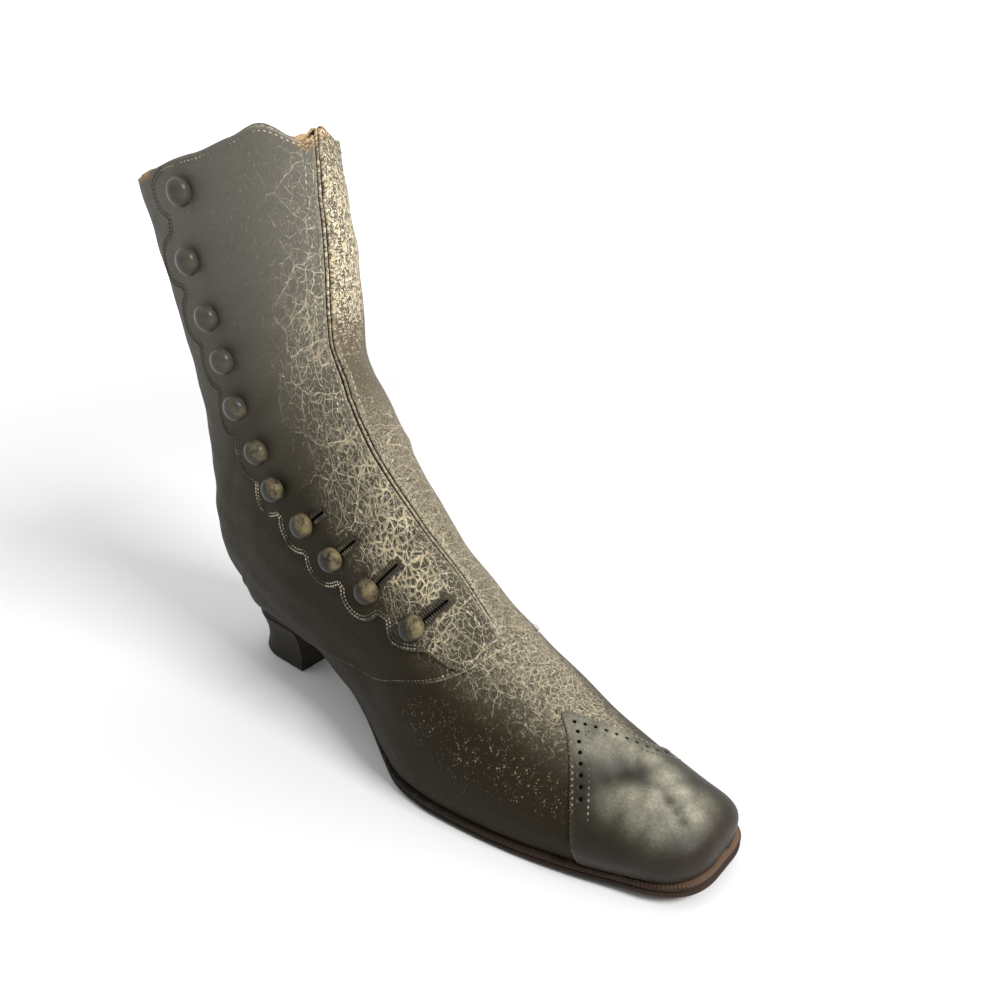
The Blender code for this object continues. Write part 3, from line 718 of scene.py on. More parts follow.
KID = worn_kid()
UPPER_COLUMNS = 181
UPPER_WALL = 0.0012
upper_stations = np.concatenate([
    np.linspace(0.0, 4.0, 33),
    np.linspace(4.0, 11.0, 78)[1:],
    np.linspace(11.0, COLLAR, 91)[1:],
])
upper_mesh, upper_points, upper_s, upper_g = wall_mesh(
    "upper_leather", upper_stations, np.linspace(-1.0, 1.0, UPPER_COLUMNS), 0.0, -UPPER_WALL,
)
add_masks(upper_mesh, wear_masks(upper_points, upper_s, upper_g))
upper = new_piece("upper_leather", upper_mesh, KID)
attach(upper, "root")
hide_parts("upper")

# The lining
# Undyed cotton twill and thin sheep leather glued inside the upper, trimmed along the top edge.
# It has frayed and stands proud at the front corner of the collar.

LINING_OUTSIDE = -0.0013
LINING_INSIDE = -0.0018
LINING_COLUMNS = 121
LINING_PROUD = 0.0022
LINING_TUFT = 0.0046
TUFT_MIDDLE = -0.024
TUFT_SPREAD = 0.034
TUFT_STATIONS = (20.4, 20.95)


def lining_twill():
    material, start, shader = new_finish("lining_twill")
    skin = start.node("ShaderNodeUVMap", {"uv_map": "skin"})
    weave = start.node("ShaderNodeTexWave", {"wave_type": "BANDS", "bands_direction": "DIAGONAL"},
                       {"Vector": skin, "Scale": 5.5, "Distortion": 0.6, "Detail": 1.0})
    stain = skin.noise(0.7, 5.0)
    cloth = stain.ease(0.35, 0.70).mix(colour(190, 160, 118), colour(140, 108, 74))
    cloth = (weave * 0.35).mix(cloth, colour(214, 190, 150))
    connect(cloth, shader, "Base Color")
    emboss(weave, shader, 0.4, 0.0003)
    shader.inputs["Roughness"].default_value = 0.85
    return material


TWILL = lining_twill()
lining_stations = np.concatenate([np.linspace(0.6, 4.0, 16), np.linspace(4.0, 20.95, 86)[1:]])
lining_mesh, _, lining_s, lining_g = wall_mesh(
    "lining", lining_stations, np.linspace(-1.0, 1.0, LINING_COLUMNS), LINING_OUTSIDE, LINING_INSIDE,
)
proud = LINING_PROUD * ease(lining_s, 20.7, 20.95) * ease(np.abs(lining_g), 0.46, 0.60)
torn = 0.65 + 0.35 * np.sin(lining_g * FRAY_WAVES[0] + 0.8) * np.sin(lining_g * FRAY_WAVES[1])
tuft_place = np.exp(-(((lining_g - TUFT_MIDDLE) / TUFT_SPREAD) ** 2))
tuft = LINING_TUFT * ease(lining_s, *TUFT_STATIONS) * tuft_place * torn
lining_places = np.array([vertex.co for vertex in lining_mesh.vertices])
lining_places[:, 2] += proud + tuft
lining_mesh.vertices.foreach_set("co", lining_places.astype(np.float32).ravel())
lining = new_piece("lining", lining_mesh, TWILL)
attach(lining, "root")

# The toe cap
# A peaked cap of smoother black leather, folded at its top edge, stitched over the vamp.
# A row of punched holes follows the edge, with a second row of stitches inside it.

# Top edge of the cap. Columns: girth share, station
CAP_EDGE = [
    (-1.00, 4.90),
    (-0.807, 5.02),
    (-0.53, 5.27),
    (-0.335, 5.52),
    (-0.247, 5.66),
    (-0.132, 5.89),
    (-0.045, 6.12),
    (0.03, 5.93),
    (0.103, 5.73),
    (0.183, 5.50),
    (0.282, 5.25),
    (0.343, 5.10),
    (0.60, 4.87),
    (1.00, 4.70),
]
CAP_FIRST_STATION = 0.35
CAP_LAST_GIRTH = 0.975
CAP_UNDER = 0.0003
CAP_TOP = 0.0009
CAP_EDGE_ROUND = 0.45
CAP_SPACING = 1.25
CAP_GROOVE = 0.00012
CAP_GROOVE_INSET = 1.6
HOLE_RADIUS = 0.72
HOLE_PITCH = 3.4
HOLE_INSET = 3.7
HOLE_REACH = 0.46
HOLE_SIDES = 9

# Where the cap is painted pale: painted highlights on its raised places over scuffed leather, and the hollows
# between, kept dark as painted shade.
# Columns: station, girth, radius in metres, strength
CAP_HIGHLIGHTS_AND_SCUFFS = [
    (5.85, -0.040, 0.0065, 0.60),
    (5.60, -0.110, 0.0060, 0.55),
    (5.45, 0.100, 0.0075, 0.80),
    (5.43, -0.040, 0.0070, 0.70),
    (5.15, 0.088, 0.0065, 0.75),
    (4.85, 0.170, 0.0060, 0.85),
    (4.42, 0.120, 0.0060, 1.00),
    (3.95, 0.052, 0.0055, 1.00),
    (3.40, -0.040, 0.0055, 0.95),
    (3.45, 0.100, 0.0060, 0.55),
    (4.83, -0.338, 0.0050, 0.45),
    (4.65, -0.232, 0.0055, 0.80),
    (4.25, -0.160, 0.0055, 0.95),
    (3.70, -0.170, 0.0060, 0.85),
    (4.30, -0.338, 0.0055, 0.55),
    (3.85, -0.338, 0.0060, 0.55),
]
CAP_HOLLOW_SHADE = [
    (5.20, -0.190, 0.0042, 0.85),
    (4.95, -0.080, 0.0048, 1.00),
    (4.82, 0.030, 0.0040, 0.85),
    (4.02, -0.085, 0.0018, 0.80),
    (3.75, -0.125, 0.0018, 0.90),
    (3.45, -0.190, 0.0018, 0.80),
]


def in_runs(count, size=3000):
    return [slice(first, first + size) for first in range(0, count, size)]


def edge_gap(loop, points):
    """How far points are from a closed loop, on the flat."""
    span = np.roll(loop, -1, axis=0) - loop
    length = np.maximum((span**2).sum(axis=1), TINY)
    gaps = np.empty(len(points))
    for run in in_runs(len(points)):
        offset = points[run][:, None, :] - loop
        share = np.clip((offset * span).sum(axis=2) / length, 0.0, 1.0)
        gaps[run] = np.linalg.norm(offset - share[:, :, None] * span, axis=2).min(axis=1)
    return gaps


def within(loop, points):
    """Whether points lie inside a closed loop, on the flat."""
    far = np.roll(loop, -1, axis=0)
    rise = np.where(far[:, 1] == loop[:, 1], TINY, far[:, 1] - loop[:, 1])
    answers = np.empty(len(points), dtype=bool)
    for run in in_runs(len(points)):
        x, y = points[run][:, :1], points[run][:, 1:]
        straddles = (loop[:, 1] > y) != (far[:, 1] > y)
        crossing = loop[:, 0] + (y - loop[:, 1]) * (far[:, 0] - loop[:, 0]) / rise
        answers[run] = np.sum(straddles & (x < crossing), axis=1) % 2 == 1
    return answers


def even_loop(points, spacing):
    """A closed line on the flat with points at an even spacing."""
    around = np.vstack([points, points[:1]])
    lengths = lengths_along(around)
    marks = np.linspace(0.0, lengths[-1], int(lengths[-1] / spacing) + 1)[:-1]
    return np.stack([np.interp(marks, lengths, around[:, axis]) for axis in (0, 1)], axis=1)


def even_line(points, spacing):
    """An open line with points at an even spacing."""
    lengths = lengths_along(points)
    marks = np.linspace(0.0, lengths[-1], max(2, int(lengths[-1] / spacing) + 1))
    return np.stack([np.interp(marks, lengths, column) for column in points.T], axis=1)


def inset_line(line, loop, depth):
    """A line moved sideways into a loop on the flat, without the places that come too near the loop."""
    slopes = np.gradient(line, axis=0)
    aside = np.stack([-slopes[:, 1], slopes[:, 0]], axis=1)
    aside = unit(aside)
    middle = line[len(line) // 2] + aside[len(line) // 2] * 0.05
    if not within(loop, middle[None, :])[0]:
        aside = -aside
    moved = line + aside * depth
    return moved[(edge_gap(loop, moved) > depth - 0.12) & within(loop, moved)]


def cut_patch(outline, holes, spacing, edge_rows):
    """Flat triangles inside an outline and round its holes, with rows of points close to the outline."""
    low, high = outline.min(axis=0), outline.max(axis=0)
    rows = np.arange(low[1], high[1], spacing * 0.87)
    filling = []
    for number, height in enumerate(rows):
        across = np.arange(low[0] + spacing / 2 * (number % 2), high[0], spacing)
        filling.append(np.stack([across, np.full(len(across), height)], axis=1))
    filling = np.concatenate(filling)
    keep = within(outline, filling) & (edge_gap(outline, filling) > edge_rows[-1] + spacing * 0.5)
    for hole in holes:
        keep &= edge_gap(hole, filling) > spacing * 0.45
        keep &= ~within(hole, filling)
    beside = [inset_line(np.vstack([outline, outline[:1]]), outline, depth)[:-1] for depth in edge_rows]
    loops = [outline] + holes
    edges, first = [], 0
    for loop in loops:
        edges += [(first + i, first + (i + 1) % len(loop)) for i in range(len(loop))]
        first += len(loop)
    flat = np.concatenate(loops + beside + [filling[keep]])
    made = geometry.delaunay_2d_cdt([Vector(place) for place in flat.tolist()], edges, [], 0, 1e-6)
    places = np.array([tuple(place) for place in made[0]])
    faces = np.array([face for face in made[2]])
    middles = places[faces].mean(axis=1)
    kept = within(outline, middles)
    for hole in holes:
        kept &= ~within(hole, middles)
    return places, faces[kept]


def patch_mesh(name, faces, stations, girths, lift, under, more_masks):
    """A closed leather patch on the upper from flat triangles and the place of each of their corners."""
    skin = on_last(stations, girths)
    out = outward(stations, girths)
    worn = worn_form(skin, stations, girths)
    top = skin + out * (lift + worn)[:, None]
    low = skin + out * (under + worn)[:, None]
    corner = top[faces]
    facing = np.cross(corner[:, 1] - corner[:, 0], corner[:, 2] - corner[:, 0])
    if (facing * out[faces[:, 0]]).sum() < 0:
        faces = faces[:, ::-1]
    count = len(top)
    edges = {(int(a), int(b)) for face in faces for a, b in zip(face, np.roll(face, -1))}
    rim = [(b, a, a + count, b + count) for a, b in edges if (b, a) not in edges]
    rim.sort()
    loops = [tuple(int(v) for v in face) for face in faces]
    loops += [tuple(int(v) + count for v in face[::-1]) for face in faces] + rim
    mesh = bpy.data.meshes.new(name)
    mesh.from_pydata(np.concatenate([top, low]).tolist(), [], loops)
    flat = skin_place(stations, girths)
    corners = np.array([v % count for loop in loops for v in loop])
    add_flat_map(mesh, flat[corners])
    masks = wear_masks(skin, stations, girths)
    masks.update(more_masks)
    add_masks(mesh, {key: np.concatenate([values, values]) for key, values in masks.items()})
    return mesh


def rounded_edge(gap, radius):
    """How far a rounded edge lies below the full thickness, at a gap from the edge."""
    left = np.clip(radius - gap, 0.0, radius)
    return radius - np.sqrt(np.maximum(radius**2 - left**2, 0.0))


def cap_flat(stations, girths):
    return skin_place(stations, girths) * 10.0


def cap_places(flat):
    stations = np.interp(flat[:, 1] / 1000.0, CROWN_LENGTHS, FINE_STATIONS)
    return stations, flat[:, 0] / 1000.0 / half_girth(stations)


def smooth_cap_leather():
    """Smoother black leather with a dull shine, painted highlights and grey scuffs on top and brown towards
    the tip.
    """
    material, start, shader = new_finish("cap_leather")
    skin = start.node("ShaderNodeUVMap", {"uv_map": "skin"})
    broad = skin.noise(0.7, 4.0)
    cloudy = skin.noise(2.2, 5.0)
    hairs = skin.stretch(7.0, 2.4, 1.0).noise(3.0, 4.0)
    fine = skin.noise(14.0, 3.0)
    grain = skin.noise(46.0, 2.0)
    highlight_and_scuff = start.mask("highlight_and_scuff")
    tip = start.mask("tip")
    black = broad.ease(0.32, 0.70).mix(colour(36, 33, 25), colour(46, 42, 33))
    # Painted highlights, with the hair-like texture of scuffing, on the cap's raised places.
    highlights_and_scuffs = highlight_and_scuff * (0.62 + 0.38 * (cloudy * 0.45 + hairs * 0.55).ease(0.40, 0.60))
    black = (highlights_and_scuffs * 0.88).mix(black, colour(168, 164, 145))
    black = (tip * (0.5 + 0.5 * cloudy.ease(0.35, 0.60)) * 0.85).mix(black, colour(46, 36, 28))
    nicks = (fine * 0.6 + hairs * 0.5).ease(0.66, 0.76) * highlight_and_scuff
    edge = start.mask("edge")
    painted = (nicks * 0.5).mix(black, colour(182, 176, 156))
    connect((edge * fine.ease(0.45, 0.62) * 0.5).mix(painted, colour(176, 164, 138)), shader, "Base Color")
    connect(0.42 + 0.10 * highlights_and_scuffs + 0.20 * (cloudy - 0.5), shader, "Roughness")
    emboss(0.3 * grain + 0.4 * fine + 0.5 * hairs, shader, 0.28, 0.0004)
    shader.inputs["Specular IOR Level"].default_value = 0.16
    return material


CAP_LEATHER = smooth_cap_leather()
cap_girths = np.linspace(-CAP_LAST_GIRTH, CAP_LAST_GIRTH, 200)
cap_tops = curve_through(CAP_EDGE, 1, cap_girths)
cap_edge_line = even_line(cap_flat(cap_tops, cap_girths), 1.0)


def cap_side(girth):
    top = float(curve_through(CAP_EDGE, 1, girth))
    stations = np.linspace(CAP_FIRST_STATION, top, 60)[:-1]
    return cap_flat(stations, np.full(len(stations), girth))


cap_foot = cap_flat(np.full(20, CAP_FIRST_STATION), np.linspace(CAP_LAST_GIRTH, -CAP_LAST_GIRTH, 20))
cap_outline = even_loop(np.vstack([
    cap_edge_line, cap_side(CAP_LAST_GIRTH)[::-1], cap_foot[1:-1], cap_side(-CAP_LAST_GIRTH),
]), 1.0)
hole_line = inset_line(cap_edge_line, cap_outline, HOLE_INSET)
peak = hole_line[:, 1].argmax()
hole_middles = np.vstack([
    even_line(hole_line[peak::-1], HOLE_PITCH),
    even_line(hole_line[peak:], HOLE_PITCH)[1:],
])
hole_middles = hole_middles[np.abs(cap_places(hole_middles)[1]) < HOLE_REACH]
turns = np.linspace(0.0, 2 * math.pi, HOLE_SIDES, endpoint=False)
hole_rim = HOLE_RADIUS * np.stack([np.cos(turns), np.sin(turns)], axis=1)
cap_flat_points, cap_faces = cut_patch(
    cap_outline, [middle + hole_rim for middle in hole_middles], CAP_SPACING, (0.3, 0.8),
)
cap_s, cap_g = cap_places(cap_flat_points)
cap_gap = edge_gap(cap_outline, cap_flat_points)
cap_lift = CAP_TOP - 0.001 * rounded_edge(cap_gap, CAP_EDGE_ROUND)
cap_lift -= CAP_GROOVE * np.exp(-(((cap_gap - CAP_GROOVE_INSET) / 0.7) ** 2))
cap_skin = on_last(cap_s, cap_g)
cap_masks = {
    # Painted highlights with scuffs, held back in the hollows as painted shade.
    "highlight_and_scuff": patches(cap_skin, CAP_HIGHLIGHTS_AND_SCUFFS) * (1.0 - 0.9 * patches(cap_skin, CAP_HOLLOW_SHADE)),
    "tip": 1.0 - ease(cap_s, 1.7, 3.5),
    "edge": np.exp(-((cap_gap / 0.6) ** 2)) * ease(cap_s, 3.0, 4.5),
}
cap_mesh = patch_mesh("toe_cap_leather", cap_faces, cap_s, cap_g, cap_lift, CAP_UNDER, cap_masks)
cap = new_piece("toe_cap_leather", cap_mesh, CAP_LEATHER)
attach(cap, "root")
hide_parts("toe_cap")

# The quarters' edges
# The inner quarter's front facing, folded at the front seam, the thin piping sewn into that seam, and the
# quarters' lower edge over the vamp. All are the same kid, skived so that only the folded edges stand up.

# The vamp seam. Columns: girth share, station
VAMP_SEAM = [
    (-0.96, 10.40),
    (-0.76, 9.43),
    (-0.623, 8.62),
    (-0.505, 8.15),
    (-0.367, 7.62),
    (-0.26, 7.38),
    (-0.047, 7.20),
    (0.22, 7.15),
    (0.35, 7.40),
    (0.50, 7.90),
    (0.65, 8.60),
    (0.78, 9.40),
    (0.96, 10.40),
]
QUARTER_EDGE = 0.0006
QUARTER_WIDTH = 0.013
FACING_EDGE = 0.0011
FACING_WIDTH = 0.018
PIPING_PLACE = 0.0005
PIPING_WIDTH = 0.0011
PIPING_HEIGHT = 0.0008
SEAM_GAP = 0.0020
STRIP_UNDER = -0.0003
STRIP_STEPS = 420
SEAM_FOOT = 7.36
SEAM_RAISED = 8.4
QUARTER_REACH = 0.955
# Columns: share of the strip's width, share of its edge's height
SKIVED = [
    (0.0, 0.30), (0.012, 0.72), (0.03, 0.95), (0.055, 1.0), (0.14, 0.96), (0.28, 0.74), (0.46, 0.44),
    (0.66, 0.18), (0.84, 0.02), (1.0, -0.08),
]
ROLLED = [(0.0, 0.25), (0.15, 0.75), (0.35, 0.97), (0.5, 1.0), (0.65, 0.97), (0.85, 0.75), (1.0, 0.25)]


def station_length(stations, girths):
    """Metres along the skin for one station, at places on it."""
    step = on_last(stations + SLOPE_STEP, girths) - on_last(stations - SLOPE_STEP, girths)
    return np.linalg.norm(step, axis=1) / (2 * SLOPE_STEP)


def edge_strip(name, stations, girths, up, aside, height, profile):
    """A strip along a path of places, folded at the path and shaped by a profile towards up and aside."""
    shares = np.array([row[0] for row in profile])
    heights = np.array([row[1] for row in profile]) * height
    rows, columns = len(stations), len(shares)
    s = (stations[:, None] + up[:, None] * shares).ravel()
    g = (girths[:, None] + aside[:, None] * shares).ravel()
    number = np.arange(rows * columns).reshape(rows, columns)
    near, right = number[:-1, :-1].ravel(), number[:-1, 1:].ravel()
    far, far_right = number[1:, :-1].ravel(), number[1:, 1:].ravel()
    faces = np.concatenate([
        np.stack([near, right, far_right], axis=1),
        np.stack([near, far_right, far], axis=1),
    ])
    lift = np.tile(heights, rows) * (0.10 + 0.90 * ease(s, SEAM_FOOT, SEAM_RAISED))
    worn = np.exp(-((shares / 0.06) ** 2)) if profile is SKIVED else 0.7 * np.ones(columns)
    shown = np.exp(-(((g + 0.05) / 0.34) ** 4))
    return patch_mesh(name, faces, s, g, lift, STRIP_UNDER, {"edge": np.tile(worn, rows) * shown})


seam_s = np.linspace(SEAM_FOOT, COLLAR, STRIP_STEPS)
seam_g = curve_through(FRONT_SEAM, 1, seam_s)
level = np.zeros(STRIP_STEPS)
facing_mesh = edge_strip("front_facing", seam_s, seam_g + SEAM_GAP / half_girth(seam_s), level,
                         FACING_WIDTH / half_girth(seam_s), FACING_EDGE, SKIVED)
piping_mesh = edge_strip("front_piping", seam_s, seam_g + PIPING_PLACE / half_girth(seam_s), level,
                         PIPING_WIDTH / half_girth(seam_s), PIPING_HEIGHT, ROLLED)
quarter_g = np.linspace(-QUARTER_REACH, QUARTER_REACH, STRIP_STEPS)
quarter_s = curve_through(VAMP_SEAM, 1, quarter_g)
quarter_up = QUARTER_WIDTH / station_length(quarter_s, quarter_g)
quarter_mesh = edge_strip("quarter_edge", quarter_s, quarter_g, quarter_up, level, QUARTER_EDGE, SKIVED)
for edge_mesh in (facing_mesh, piping_mesh, quarter_mesh):
    folded = new_piece(edge_mesh.name, edge_mesh, KID)
    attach(folded, "root")

# The button fly
# The outer quarter's flap of the same kid, from the front seam round the outer side to a scalloped edge.
# It is lined and stitched twice along its scallops, and its four lowest buttonholes are cut and worked.

# The buttons from the collar down. Columns: station, girth share, reach of the fly behind the button
BUTTONS = [
    (20.50, -0.388, 0.0210),
    (19.55, -0.434, 0.0225),
    (18.73, -0.415, 0.0205),
    (18.03, -0.386, 0.0190),
    (17.09, -0.358, 0.0178),
    (15.51, -0.308, 0.0170),
    (13.75, -0.334, 0.0170),
    (11.28, -0.344, 0.0168),
    (10.23, -0.353, 0.0162),
    (9.35, -0.323, 0.0148),
    (8.34, -0.272, 0.0115),
]
LOBE_RADIUS = 0.0098
LOBE_RISE = 0.0025
LOBE_NOTCH = 0.0070
FLY_FOOT = (7.34, -0.255)
# Below the lowest lobe the edge runs out to the foot. Columns: station, reach behind the button line
FLY_TAIL = [(7.34, 0.0), (7.70, 0.0027), (8.00, 0.0040), (8.18, 0.0071), (8.38, 0.0098), (8.60, 0.0114)]
FLY_TOP_MARGIN = 0.0004
FLY_CORNER = 0.0060
FLY_UNDER = 0.00015
FLY_TOP = 0.0017
FLY_FRONT_TOP = 0.0013
FLY_SPACING = 1.15
FLY_EDGE_ROUND = 0.6
SLOT_START = 2.0
SLOT_HALF = 0.65
SLOT_SLOPE = -0.20
# Ends of the buttonholes in front of the button line, in millimetres, from the lowest up
SLOT_ENDS = [13.5, 13.0, 10.5, 9.0]
LOBE_CURL = 0.0010
STITCH_PUFF = 0.00016
STITCH_SINK = 0.00020

button_line = [FLY_FOOT] + [(s, g) for s, g, _ in BUTTONS[::-1]] + [(float(COLLAR), BUTTONS[0][1])]
line_stations = np.linspace(FLY_FOOT[0], COLLAR, 900)
line_girths = curve_through(button_line, 1, line_stations)
line_lengths = lengths_along(on_last(line_stations, line_girths))
button_marks = np.interp([row[0] for row in BUTTONS[::-1]], line_stations, line_lengths)
fly_reaches = np.array([LOBE_NOTCH] + [row[2] for row in BUTTONS[::-1]])
fly_length = line_lengths[-1] - FLY_TOP_MARGIN


def fly_places(flat):
    """Stations and girths from flat places on the fly: across the button line and up along it, in mm."""
    stations = np.interp(flat[:, 1] / 1000.0, line_lengths, line_stations)
    girths = np.interp(stations, line_stations, line_girths) + flat[:, 0] / 1000.0 / half_girth(stations)
    return stations, girths


def scallops(lengths):
    """How far the fly reaches behind the button line: a round lobe for each button, with notches between."""
    edge = np.interp(lengths, np.concatenate([[0.0], button_marks]), fly_reaches) - LOBE_NOTCH
    for mark, reach in zip(button_marks, fly_reaches[1:]):
        offset = np.abs(lengths - mark - LOBE_RISE)
        lobe = reach - LOBE_RADIUS + np.sqrt(np.maximum(LOBE_RADIUS**2 - offset**2, 0.0))
        edge = np.where(offset < LOBE_RADIUS, np.maximum(edge, lobe), edge)
    stations = np.interp(lengths, line_lengths, line_stations)
    edge = np.where(stations < FLY_TAIL[-1][0], curve_through(FLY_TAIL, 1, stations), edge)
    corner = np.clip((lengths - fly_length + FLY_CORNER) / FLY_CORNER, 0.0, 1.0)
    return edge - FLY_CORNER * (1.0 - np.sqrt(np.maximum(1.0 - corner**2, 0.0)))


fly_ups = np.linspace(0.0, fly_length, 900)
fly_up_stations = np.interp(fly_ups, line_lengths, line_stations)
seam_across = curve_through(FRONT_SEAM, 1, fly_up_stations)
seam_across = seam_across - np.interp(fly_up_stations, line_stations, line_girths)
seam_line = np.stack([seam_across * half_girth(fly_up_stations), fly_ups], axis=1) * 1000.0
scallop_line = np.stack([-scallops(fly_ups), fly_ups], axis=1) * 1000.0
fly_outline = even_loop(np.vstack([seam_line, scallop_line[::-1]]), 0.8)
scallop_line = even_line(scallop_line, 0.5)
seam_line = even_line(seam_line, 0.8)


def slot_loop(mark, end):
    """The cut of a buttonhole on the flat, round at both ends."""
    half_turn = np.linspace(-math.pi / 2, math.pi / 2, 5)
    ends = np.stack([np.cos(half_turn), np.sin(half_turn)], axis=1) * SLOT_HALF
    right = ends + (end, mark * 1000.0 + SLOT_SLOPE * end)
    left = -ends + (SLOT_START, mark * 1000.0 + SLOT_SLOPE * SLOT_START)
    return np.vstack([right, left])


fly_slots = [slot_loop(mark, end) for mark, end in zip(button_marks, SLOT_ENDS)]
fly_flat, fly_faces = cut_patch(fly_outline, fly_slots, FLY_SPACING, (0.25, 0.7, 1.3))
fly_s, fly_g = fly_places(fly_flat)


def fly_top(flat):
    """Height of the fly's face over the last: thin at the front seam, full and rounded at the scallops."""
    full = FLY_FRONT_TOP + (FLY_TOP - FLY_FRONT_TOP) * (1.0 - ease(flat[:, 0], 2.0, 20.0))
    gap = edge_gap(fly_outline, flat)
    behind = ease(-flat[:, 0], -14.0, -4.0)
    puff = STITCH_PUFF * np.exp(-(((gap - 0.9) / 0.5) ** 2))
    puff = puff - STITCH_SINK * np.exp(-(((gap - 2.4) / 1.1) ** 2))
    high = ease(flat[:, 1] / 1000.0, button_marks[6], button_marks[8])
    curl = LOBE_CURL * high * ease(-flat[:, 0], 10.0, 20.0)
    return full - 0.001 * rounded_edge(gap, FLY_EDGE_ROUND) + puff * behind + curl


fly_gap = edge_gap(fly_outline, fly_flat)
fly_front = ease(fly_g, -0.20, -0.10)
slot_gap = np.min([edge_gap(slot, fly_flat) for slot in fly_slots], axis=0)
worked = 1.0 - ease(slot_gap, 1.2, 2.6)
fly_wear = wear_masks(on_last(fly_s, fly_g), fly_s, fly_g)
# The fly keeps the painted shade of the low sides and is painted darker round its buttonholes.
fly_masks = {
    "edge": np.exp(-((fly_gap / 0.7) ** 2)) * (0.25 * (1.0 - ease(fly_s, 10.0, 13.0)) + 0.75 * fly_front),
    "cracks": fly_wear["cracks"] * (1.0 - worked),
    "rubbed": fly_wear["rubbed"] * (1.0 - worked),
    "dark": np.maximum(fly_wear["dark"], worked),
}
fly_mesh = patch_mesh("button_fly_leather", fly_faces, fly_s, fly_g, fly_top(fly_flat), FLY_UNDER, fly_masks)
fly = new_piece("button_fly_leather", fly_mesh, KID)
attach(fly, "root")
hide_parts("button_fly")

# What the fly and the cap cover on the upper is painted near black as painted shade, as it shows only through
# holes and slots.
upper_line = np.interp(upper_s, line_stations, line_girths)
upper_up = np.interp(upper_s, line_stations, line_lengths, left=-1.0, right=1.0)
under_fly = np.stack([(upper_g - upper_line) * half_girth(upper_s), upper_up], axis=1) * 1000.0
painted_shade_underneath = within(fly_outline, under_fly) & (edge_gap(fly_outline, under_fly) > 1.2)
painted_shade_underneath |= upper_s < curve_through(CAP_EDGE, 1, upper_g) - 0.10
# Painted shade in the front seam's groove, under the piping and the facing's edge.
past_seam = (upper_g - curve_through(FRONT_SEAM, 1, upper_s)) * half_girth(upper_s)
painted_shade_underneath |= (past_seam > -0.0010) & (past_seam < 0.0030) & (upper_s > 7.35)
add_masks(upper_mesh, {"painted_shade_underneath": painted_shade_underneath.astype(float)})

# The stitching
# Linen thread in even lockstitches: two rows along the scallops, the outer side of the front seam and the
# cap's edge, and single rows inside the seam, under the collar and round the vamp.


def thread_tree():
    """Stitches laid along paths, each a small rounded bar that lies on the leather."""
    tree = bpy.data.node_groups.new("sewn_thread", "GeometryNodeTree")
    tree.interface.new_socket("Paths", in_out="INPUT", socket_type="NodeSocketGeometry")
    inputs = {}
    for name, kind in (("Pitch", "Float"), ("Size", "Vector"), ("Thread", "Material")):
        socket = tree.interface.new_socket(name, in_out="INPUT", socket_type=f"NodeSocket{kind}")
        inputs[name] = socket.identifier
    tree.interface.new_socket("Stitches", in_out="OUTPUT", socket_type="NodeSocketGeometry")

    def add(kind, settings=None, **links):
        node = tree.nodes.new(kind)
        for name, value in (settings or {}).items():
            setattr(node, name, value)
        for name, value in links.items():
            socket = node.inputs[name.replace("_", " ")]
            if isinstance(value, bpy.types.NodeSocket):
                tree.links.new(value, socket)
            else:
                socket.default_value = value
        return node

    given = add("NodeGroupInput").outputs
    curve = add("GeometryNodeMeshToCurve", Mesh=given["Paths"]).outputs[0]
    points = add("GeometryNodeResampleCurve", {"mode": "LENGTH"},
                 Curve=curve, Length=given["Pitch"]).outputs[0]
    bar = add("GeometryNodeMeshUVSphere", Segments=6, Rings=4, Radius=0.5).outputs[0]
    tangent = add("GeometryNodeInputTangent").outputs[0]
    out = add("GeometryNodeInputNamedAttribute", {"data_type": "FLOAT_VECTOR"}, Name="out").outputs[0]
    along = add("FunctionNodeAlignRotationToVector", {"axis": "X"}, Vector=tangent).outputs[0]
    turned = add("FunctionNodeAlignRotationToVector", {"axis": "Z", "pivot_axis": "X"},
                 Rotation=along, Vector=out).outputs[0]
    laid = add("GeometryNodeInstanceOnPoints", Points=points, Instance=bar, Rotation=turned,
               Scale=given["Size"]).outputs[0]
    real = add("GeometryNodeRealizeInstances", Geometry=laid).outputs[0]
    sewn = add("GeometryNodeSetMaterial", Geometry=real, Material=given["Thread"]).outputs[0]
    add("NodeGroupOutput", Stitches=sewn)
    return tree, inputs


THREAD_TREE, THREAD_INPUTS = thread_tree()


def sew(name, paths, pitch, size, thread):
    """Stitches along paths, each path given as points on the leather and directions out of it."""
    points, out, edges = [], [], []
    for places, directions in paths:
        first = len(points)
        edges += [(first + i, first + i + 1) for i in range(len(places) - 1)]
        points += places.tolist()
        out += directions.tolist()
    mesh = bpy.data.meshes.new(name)
    mesh.from_pydata(points, edges, [])
    layer = mesh.attributes.new("out", "FLOAT_VECTOR", "POINT")
    layer.data.foreach_set("vector", np.array(out, dtype=np.float32).ravel())
    piece = bpy.data.objects.new(name, mesh)
    bpy.context.scene.collection.objects.link(piece)
    sewing = piece.modifiers.new("sewing", "NODES")
    sewing.node_group = THREAD_TREE
    sewing[THREAD_INPUTS["Pitch"]] = pitch
    sewing[THREAD_INPUTS["Size"]] = size
    sewing[THREAD_INPUTS["Thread"]] = thread
    bpy.context.view_layer.update()
    made = bpy.data.meshes.new_from_object(piece.evaluated_get(bpy.context.evaluated_depsgraph_get()))
    piece.modifiers.clear()
    piece.data = made
    made.name = name
    made.shade_smooth()
    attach(piece, "root")
    return piece


def laid_on(stations, girths, lift):
    """A path on the worn leather at a height over the last, with its directions out."""
    skin = on_last(stations, girths)
    out = outward(stations, girths)
    return skin + out * (lift + worn_form(skin, stations, girths))[:, None], out


